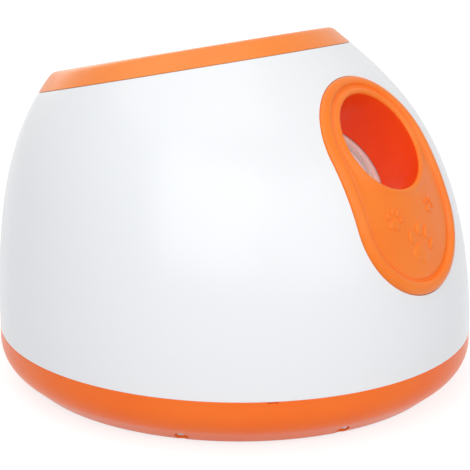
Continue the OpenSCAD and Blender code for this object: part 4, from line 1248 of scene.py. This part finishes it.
@dataclass
class Controls:
    """The orange control panel on the back, with its buttons, lights and power socket."""

    centre: float = 80.0
    half: tuple[float, float] = (38.0, 18.0)
    corner: float = 8.0
    button_x: float = 20.0
    button: float = 8.0
    guide_end: float = 138.0
    lights: tuple[float, ...] = (-6.0, 0.0, 6.0)
    board: float = 128.0
    socket: float = 46.0

    def facing(self, x: float, y: float, z: float) -> Matrix:
        """A place whose Z points backwards out of the panel."""
        return shift(x, y, z) @ spin("X", -90)

    def surface(self, z: float) -> float:
        """How far back the dome's skin is at a height."""
        return float(DOME.meet(self.facing(0, 130, z), np.zeros((1, 2)), 0.0)[0, 1])

    def build(self) -> None:
        """Makes and installs the panel and all that is in it."""
        install(self.plate(), Slot.panel_orange, "control_panel")
        face = self.surface(self.centre) + 0.2
        power = join("power_key", self.key(-self.button_x, face), *self.power_mark(face))
        install(power, Slot.button_white, "power_button", body=Body.POWER_BUTTON)
        distance = join("distance_key", self.key(self.button_x, face), *self.distance_mark(face))
        install(distance, Slot.button_white, "distance_button", body=Body.DISTANCE_BUTTON)
        lens = [(1.6, 0.0), (1.6, 14.8), (1.45, 15.3), (1.0, 15.75), (0.4, 15.95)]
        reach = self.surface(self.centre)
        lenses = [raise_rings("lens", lens, 32, self.facing(x, reach - 16.0, self.centre))
                  for x in self.lights]
        install(join("light_pipes", *lenses), Slot.lens_green, "led_lenses")
        install(self.power_inlet(), Slot.dark_plastic, "power_socket")

    def plate(self) -> bpy.types.Object:
        """Cuts the panel out of the dome's own skin, with a border groove and key wells."""
        plate = self.skin(-0.25, 5.8)
        combine(plate, self.slab(0.0), Join.KEEP)
        groove = self.skin(2.0, -0.15)
        combine(groove, self.slab(-2.4), Join.KEEP)
        combine(groove, self.slab(-3.2, 1), Join.CUT)
        combine(plate, groove, Join.CUT)
        keys = (-self.button_x, self.button_x)
        tools = [cutter(self.button + 0.3, 0, 30, self.facing(x, self.guide_end - 1, self.centre))
                 for x in keys]
        tools += [cutter(1.7, 0, 40, self.facing(x, 130, self.centre), 32) for x in self.lights]
        combine(plate, join("tools", *tools), Join.CUT)
        flange = self.skin(-3.4, 5.8)
        combine(flange, self.slab(3), Join.KEEP)
        combine(flange, self.slab(-1, 1), Join.CUT)
        section = [(0.3, 0.0), (1.9, 0.0), (2, 0.2), (2, 8.0), (0.3, 8.0), (0.3, 0.0)]
        rings = [(self.button + out, z) for out, z in section]
        guides = [raise_rings("guide", rings, 64, self.facing(x, self.guide_end, self.centre), looped=True)
                  for x in keys]
        posts = [bar(2.6, 0, 12, self.facing(x, self.board + 1.7, z), 32) for x, z in BOARD_SCREWS]
        return join("orange_control_panel", plate, flange, *guides, *posts)

    def slab(self, grow: float, past: float = 0) -> bpy.types.Object:
        """A tool as wide as the panel and grow more, which ends past the others."""
        half = (self.half[0] + grow, self.half[1] + grow)
        place = shift(0, 200, self.centre) @ spin("X", 90)
        return rounded_slab(half, self.corner + grow, -past, 90 + past, place)

    def skin(self, outer: float, inner: float) -> bpy.types.Object:
        """A slice of the dome's back between two insets, as thick as the panel needs.

        Args:
            outer: How far out of the dome its outer face lies.
            inner: How far inside the dome its inner face lies.

        Returns:
            The slice.
        """
        bpy.ops.mesh.primitive_grid_add(x_subdivisions=46, y_subdivisions=16, size=2)
        grid = adopt("skin")
        flat = np.array([[x, z] for z in np.linspace(-25, 25, 17) for x in np.linspace(-46, 46, 47)])
        lay(grid, DOME.meet(self.facing(0, 130, self.centre), flat, outer))
        with editing(grid):
            pull(0, -(outer + inner), 0)
        tidy_normals(grid)
        return grid

    def key(self, x: float, face: float) -> bpy.types.Object:
        """A key cap with a dished top, a collar that keeps it in and a stem."""
        deep = face - self.guide_end + 2.2
        rings = [(2.5, 0.0), (2.5, 1.0), (9.5, 1.01), (9.5, 2.0), (8.0, 2.01)]
        top = [(8.0, 1.0), (7.8, 0.4), (7.3, 0), (6.6, 0.05), (5.0, 0.3), (2.5, 0.45), (0.5, 0.5)]
        rings += [(r, deep - dip) for r, dip in top]
        return raise_rings("key", rings, 64, self.facing(x, self.guide_end - 2.2, self.centre))

    def power_mark(self, face: float) -> list[bpy.types.Object]:
        """The usual power sign: an open ring with a stroke, raised on the key."""
        place = self.facing(-self.button_x, face - 0.6, self.centre)
        section = [(2.6, 0), (3.3, 0), (3.25, 0.42), (2.65, 0.42), (2.6, 0)]
        ring = raise_rings("ring", section, 48, place, looped=True)
        combine(ring, block((-0.9, -5, -2), (0.9, 0, 2), place), Join.CUT)
        return [ring, block((-0.35, -3.6, 0), (0.35, -0.6, 0.42), place, 0.1)]

    def distance_mark(self, face: float) -> list[bpy.types.Object]:
        """Three bars that grow, for the three distances, raised on the key."""
        place = self.facing(self.button_x, face - 0.6, self.centre)
        return [block((-2.6 + 2 * i, 2.2 - 1.6 * (i + 1), 0), (-1.4 + 2 * i, 2.2, 0.42), place, 0.1)
                for i in range(3)]

    def power_inlet(self) -> bpy.types.Object:
        """A round inlet: a flange with a rolled edge, a bore and its centre pin."""
        rings = [(5.4, -15), (5.4, -1.1), (7.3, -1.1), (7.5, -0.8), (7.4, -0.35), (6.9, 0.0), (3.5, 0.0),
                 (2.9, -0.4), (2.8, -1.0), (2.8, -10), (1.0, -10.01), (1.0, -2.5), (0.6, -2.0)]
        place = self.facing(0, self.surface(self.socket) + 1.2, self.socket)
        return raise_rings("power_inlet", rings, 64, place)


# ---------------------------------------------------------------- screws, cells, leads


@dataclass(frozen=True)
class ScrewSet:
    """The screws of one CAD node: a size and the places of their head seats.

    Attributes:
        node: The CAD node.
        head: The head's height.
        length: The shank's length.
        radius: The shank's radius.
        head_radius: The head's radius.
        places: A frame for each, its Z pointing down the shank.
        body: The body they ride on.
    """

    node: str
    head: float
    length: float
    radius: float
    head_radius: float
    places: list[Matrix]
    body: Body = Body.LAUNCHER


@dataclass
class Hardware:
    """Screws, battery cells and the leads inside."""

    motor_depth: float = 186.1
    lead_radius: float = 1.3
    # The route from the motor to the board, after its first two points.
    red_route: tuple[tuple[float, float, float], ...] = (
        (72, 90, 84), (50, 116, 80), (34, 122, 76), (28, 124, 74), (28, 127.7, 74))
    # The route from the battery bay to the board, likewise.
    black_route: tuple[tuple[float, float, float], ...] = (
        (56, -10, 18), (60, 50, 12), (44, 98, 30), (20, 116, 62), (14, 124, 68), (14, 127.7, 68))
    cell_pitch: float = 26.3
    cell_axis: float = 18.3

    def sets(self) -> list[ScrewSet]:
        """Every group of screws in the launcher."""
        shells, sides = Shells(), (-1, 1)
        feet = [(-62, -75, 35.4), (62, -75, 35.4), (-38, -9, 14), (38, -9, 14)]
        posts = [(160, 74), (196, 68), (201, 37), (108, 33), (150, 33)]
        base = [shells.well(a) @ shift(0, 0, 9) for a in shells.well_angles]
        bezel = [PANEL @ shift(x, v, -16.75) for x, v in PANEL_SCREWS]
        rim = RIM @ shift(0, 0, -13.8)
        hopper = [rim @ spin("Z", a) @ shift(HOPPER_SCREW_REACH, 0, 0) for a in Hopper().screw_angles]
        barrel = [along_barrel(s, -10, x) @ spin("X", 90) for x in (-36.5, 36.5) for s in (72, 140)]
        cradle = [shift(x, y, z + 3.05) @ spin("X", 180) for x, y, z in feet]
        end_cap = [along_barrel(171) @ spin("Z", a) @ shift(34.7, 0, 0) for a in (210, 270, 330)]
        door = [shift(0, y, 3.7) for y in shells.door_screws]
        panel = [spin("Z", -side * 17.3) @ shift(0, 142.9, 80) @ spin("X", -90) for side in sides]
        board = [shift(x, 128, z) @ spin("X", -90) for x, z in BOARD_SCREWS]
        gearbox = [along_barrel(s, n, side * 23.2) @ spin("Y", -side * 90)
                   for side in sides for s, n in posts]
        motor = [along_barrel(self.motor_depth, 50 + side * 8, 20.2) @ spin("Y", 90) for side in sides]
        switch = [along_barrel(s, 51.5, -46) @ spin("X", 90) for s in (65, 79)]
        rack = [along_barrel(s, 17.4) @ spin("X", -90) for s in (72, 90)]
        return [
            ScrewSet("base_screws", 2.4, 17, 1.4, 3, base),
            ScrewSet("bezel_screws", 1.8, 9, 1.4, 3, bezel),
            ScrewSet("hopper_screws", 1.8, 9.5, 1.4, 2.5, hopper),
            ScrewSet("barrel_screws", 1.8, 9, 1.4, 3, barrel),
            ScrewSet("cradle_screws", 1.8, 8.5, 1.4, 3, cradle),
            ScrewSet("end_cap_screws", 1.8, 9.5, 1.4, 3, end_cap),
            ScrewSet("door_screws", 1.3, 8.5, 1.4, 3, door, Body.BATTERY_DOOR),
            ScrewSet("panel_screws", 2.3, 4.7, 1.4, 4.6, panel),
            ScrewSet("board_screws", 1.4, 7.5, 1.0, 2, board),
            ScrewSet("gearbox_screws", 1.6, 8, 1.2, 2.4, gearbox),
            ScrewSet("motor_screws", 1.4, 7, 1.2, 2.3, motor),
            ScrewSet("switch_screws", 1.2, 11, 1.0, 1.9, switch),
            ScrewSet("rack_screws", 1.8, 6, 0.9, 2, rack, Body.PISTON),
        ]

    def screw(self, kind: ScrewSet) -> bpy.types.Object:
        """One pan-head screw with a cross recess and a ridged shank.

        Args:
            kind: The set it belongs to.

        Returns:
            The screw, its head's seat at the origin and its shank along +Z.
        """
        head, radius, wide = kind.head, kind.radius, kind.head_radius
        profile = ((0.55, 1.0), (0.8, 0.88), (0.95, 0.6), (1.0, 0.25), (1.0, 0.0))
        rings = [(wide * r, -head * z) for r, z in profile] + [(radius * 0.8, 0.02)]
        turns = max(3, int((kind.length - 1.2) / 1.1))
        for i in range(turns):
            z = 0.4 + (kind.length - 1.4) * i / turns
            rings += [(radius * 0.8, z), (radius, z + 0.35), (radius * 0.8, z + 0.7)]
        rings += [(radius * 0.75, kind.length - 0.9), (radius * 0.3, kind.length)]
        piece = raise_rings("screw", rings, 20)
        arm, thick, deep = wide * 0.5, wide * 0.12, head * 0.55
        cross = block((-arm, -thick, -head - 1), (arm, thick, -head + deep))
        combine(cross, block((-thick, -arm, -head - 1), (thick, arm, -head + deep)), Join.ADD)
        combine(piece, cross, Join.CUT)
        return piece

    def copies(self, name: str, first: bpy.types.Object, places: Sequence[Matrix]) -> bpy.types.Object:
        """Copies a finished part to its places, each copy with its own mesh."""
        made = []
        for place in places:
            made.append(put(name, first.data.copy()))
            made[-1].data.transform(place)
        bpy.data.objects.remove(first, do_unlink=True)
        return join(name, *made)

    def build(self) -> None:
        """Makes and installs the screws, the cells and the leads."""
        for kind in self.sets():
            piece = self.copies(kind.node.replace("screws", "cross_screws"), self.screw(kind), kind.places)
            install(piece, Slot.steel, kind.node, body=kind.body, angle=Angle.TIGHT)
        self.cells()
        motor = to_world(along_barrel(self.motor_depth, 50, 64.1), np.zeros((1, 3)))[0]
        red = [tuple(motor), tuple(motor + np.array([8, 4, 0])), *self.red_route]
        install(self.lead("motor_lead", red), Slot.lead_red, "motor_leads")
        start = Shells.bay_centre + Shells.bay_half[1] + 3.2
        black = [(41, start, 28), (43, start + 5, 26), *self.black_route]
        install(self.lead("battery_lead", black), Slot.lead_black, "battery_leads")

    def cells(self) -> None:
        """Six cells with rolled shoulders, head to tail in three rows."""
        profile = [(9.0, 0.0), (12.0, 0.05), (12.8, 0.35), (13.1, 1.1), (13.1, 46.4), (12.8, 47.2),
                   (12.0, 47.6), (6.0, 47.6), (4.5, 47.7), (3.3, 47.9), (3.3, 48.9), (3.1, 49.1)]
        first = raise_rings("cell", profile, 64)
        places = []
        for row, way in ((-1, 1), (0, -1), (1, 1)):
            y = Shells.bay_centre + row * self.cell_pitch
            places += [shift(way * x, y, self.cell_axis) @ spin("Y", 90 * way) for x in (-49.3, 0.2)[::way]]
        install(self.copies("battery_cells_sleeved", first, places), Slot.cell_sleeve, "battery_cells")

    def lead(self, name: str, route: Sequence[tuple[float, float, float]]) -> bpy.types.Object:
        """A round lead on a smooth curve through the points of its route.

        Args:
            name: The piece's name.
            route: The points it passes.

        Returns:
            The lead as a mesh.
        """
        smooth_route = []
        for i in range(len(route) - 1):
            a, b, c, d = (np.array(route[min(max(i + k, 0), len(route) - 1)]) for k in (-1, 0, 1, 2))
            for t in np.linspace(0, 1, 10, endpoint=False):
                square, cube = 2 * a - 5 * b + 4 * c - d, 3 * b - a - 3 * c + d
                smooth_route.append(0.5 * (2 * b + (c - a) * t + square * t**2 + cube * t**3))
        smooth_route.append(np.array(route[-1]))
        curve = bpy.data.curves.new(name, "CURVE")
        curve.dimensions, curve.bevel_depth, curve.bevel_resolution = "3D", self.lead_radius * MM, 4
        curve.use_fill_caps = True
        line = curve.splines.new("POLY")
        line.points.add(len(smooth_route) - 1)
        for point, place in zip(line.points, smooth_route):
            point.co = (*(place * MM), 1)
        choose(put(name, curve))
        bpy.ops.object.convert(target="MESH")
        piece = bpy.context.active_object
        piece.name = piece.data.name = name
        tidy_normals(piece)
        return piece


# ---------------------------------------------------------------- the studio


@dataclass
class Studio:
    """Camera, lamps, world and floor."""

    azimuth: float = -50.719
    distance: float = 852.0
    height: float = 324.0
    yaw: float = -0.035
    pitch: float = 15.674
    roll: float = 0.577
    lens: float = 106.174
    daylight: float = 0.37
    floor_size: float = 9.0
    # Place in metres, width, height and power of each softbox, all aimed at the object.
    lamps: tuple[tuple[tuple[float, float, float], float, float, float], ...] = (
        ((-2.15, -1.2, 1.6), 2.6, 2.2, 33.0),
        ((-0.3, -2.4, 1.2), 2.2, 1.8, 15.0),
        ((-0.4, 0.2, 2.3), 2.2, 2.2, 14.0),
        ((1.2, 2.1, 1.4), 1.8, 1.6, 15.0),
    )

    def build(self) -> None:
        """Sets the whole stage."""
        self.camera()
        self.world()
        self.floor()
        for number, (place, width, height, power) in enumerate(self.lamps):
            self.lamp(f"softbox_{number}", Vector(place), width, height, power)
        bpy.context.scene.view_settings.view_transform = "Standard"

    def camera(self) -> None:
        """Stands the camera where the photograph was taken from."""
        a, yaw, pitch, roll = (math.radians(v) for v in (self.azimuth, self.yaw, self.pitch, self.roll))
        place = Vector((self.distance * math.sin(a), -self.distance * math.cos(a), self.height)) * MM
        level, right = Vector((-math.sin(a), math.cos(a), 0)), Vector((math.cos(a), math.sin(a), 0))
        up = Vector((0, 0, 1))
        ahead = level * math.cos(yaw) + right * math.sin(yaw)
        right = right * math.cos(yaw) - level * math.sin(yaw)
        look = ahead * math.cos(pitch) - up * math.sin(pitch)
        top = ahead * math.sin(pitch) + up * math.cos(pitch)
        cosine, sine = math.cos(roll), math.sin(roll)
        right, top = right * cosine + top * sine, top * cosine - right * sine
        data = bpy.data.cameras.new("photograph")
        data.lens, data.sensor_width, data.clip_start, data.clip_end = self.lens, 36.0, 0.05, 50.0
        camera = put("photograph", data)
        turn = Matrix((right, top, -look)).transposed().to_4x4()
        camera.matrix_world = Matrix.Translation(place) @ turn
        bpy.context.scene.camera = camera

    def seen(self, tree: bpy.types.NodeTree) -> bpy.types.NodeSocket:
        """One for the rays that show the backdrop: camera, glossy and transmission."""
        path = add_node(tree, "ShaderNodeLightPath").outputs
        first = add_node(tree, "ShaderNodeMath", {"operation": "MAXIMUM"},
                         {0: path["Is Camera Ray"], 1: path["Is Glossy Ray"]}).outputs[0]
        return add_node(tree, "ShaderNodeMath", {"operation": "MAXIMUM"},
                        {0: first, 1: path["Is Transmission Ray"]}).outputs[0]

    def world(self) -> None:
        """A plain white backdrop that lights the object less than it shows."""
        world = bpy.data.worlds.new("studio")
        bpy.context.scene.world = world
        world.use_nodes = True
        tree = world.node_tree
        light = tree.nodes["Background"]
        light.inputs["Color"].default_value = linear("#f6f8ff")
        light.inputs["Strength"].default_value = self.daylight
        white = add_node(tree, "ShaderNodeBackground", {"Color": (1, 1, 1, 1), "Strength": 1.0})
        self.show(tree, light, white, "World Output")

    def show(self, tree: bpy.types.NodeTree, light: bpy.types.Node, shown: bpy.types.Node, end: str) -> None:
        """Sends one shader to the rays that light and another to those that show."""
        links = {0: self.seen(tree), 1: light.outputs[0], 2: shown.outputs[0]}
        mix = add_node(tree, "ShaderNodeMixShader", None, links)
        tree.links.new(mix.outputs[0], tree.nodes[end].inputs["Surface"])

    def floor(self) -> None:
        """A pale floor that shows white where the light is full and keeps the shadow."""
        bpy.ops.mesh.primitive_plane_add(size=self.floor_size, location=(0, 0, -0.0002))
        floor = adopt("studio_floor")
        material = bpy.data.materials.new("paper_white_backdrop")
        material.use_nodes = True
        tree = material.node_tree
        tree.nodes.remove(tree.nodes["Principled BSDF"])
        paper = add_node(tree, "ShaderNodeBsdfDiffuse", {"Color": linear("#dcdde0")})
        shade = add_node(tree, "ShaderNodeBsdfDiffuse", {"Color": linear("#a4a4a4")})
        fill = add_node(tree, "ShaderNodeEmission", {"Color": (1, 1, 1, 1), "Strength": 0.78})
        both = add_node(tree, "ShaderNodeAddShader", None, {0: shade.outputs[0], 1: fill.outputs[0]})
        self.show(tree, paper, both, "Material Output")
        floor.data.materials.append(material)

    def lamp(self, name: str, place: Vector, width: float, height: float, power: float) -> None:
        """One softbox, aimed at the middle of the object.

        Args:
            name: Its name.
            place: Where it hangs, in metres.
            width: Its width in metres.
            height: Its height in metres.
            power: Its power in watts.
        """
        data = bpy.data.lights.new(name, "AREA")
        data.shape, data.size, data.size_y, data.energy = "RECTANGLE", width, height, power
        lamp = put(name, data)
        lamp.location = place
        lamp.rotation_mode = "QUATERNION"
        lamp.rotation_quaternion = (Vector((0, 0, 0.1)) - place).to_track_quat("-Z", "Y")


def dress_frame() -> None:
    """Gives every CAD node that stays the finish of its record slot."""
    for entry in frame["record"]["subparts"]:
        node = frame["nodes"][entry["node"]]
        material = Slot[entry["material_slot"]].value.build()
        if not node.material_slots:
            node.data.materials.append(material)
        for held in node.material_slots:
            held.material = material


def main() -> None:
    """Builds the launcher and its studio in order."""
    logging.basicConfig(level=logging.INFO, format="%(name)s: %(message)s")
    choose()
    Studio().build()
    dress_frame()
    for part in (Shells(), Hopper(), OutletPanel(), LaunchWorks(), Controls(), Hardware()):
        part.build()
        LOG.info("%s done", type(part).__name__)


if __name__ == "__main__":
    main()
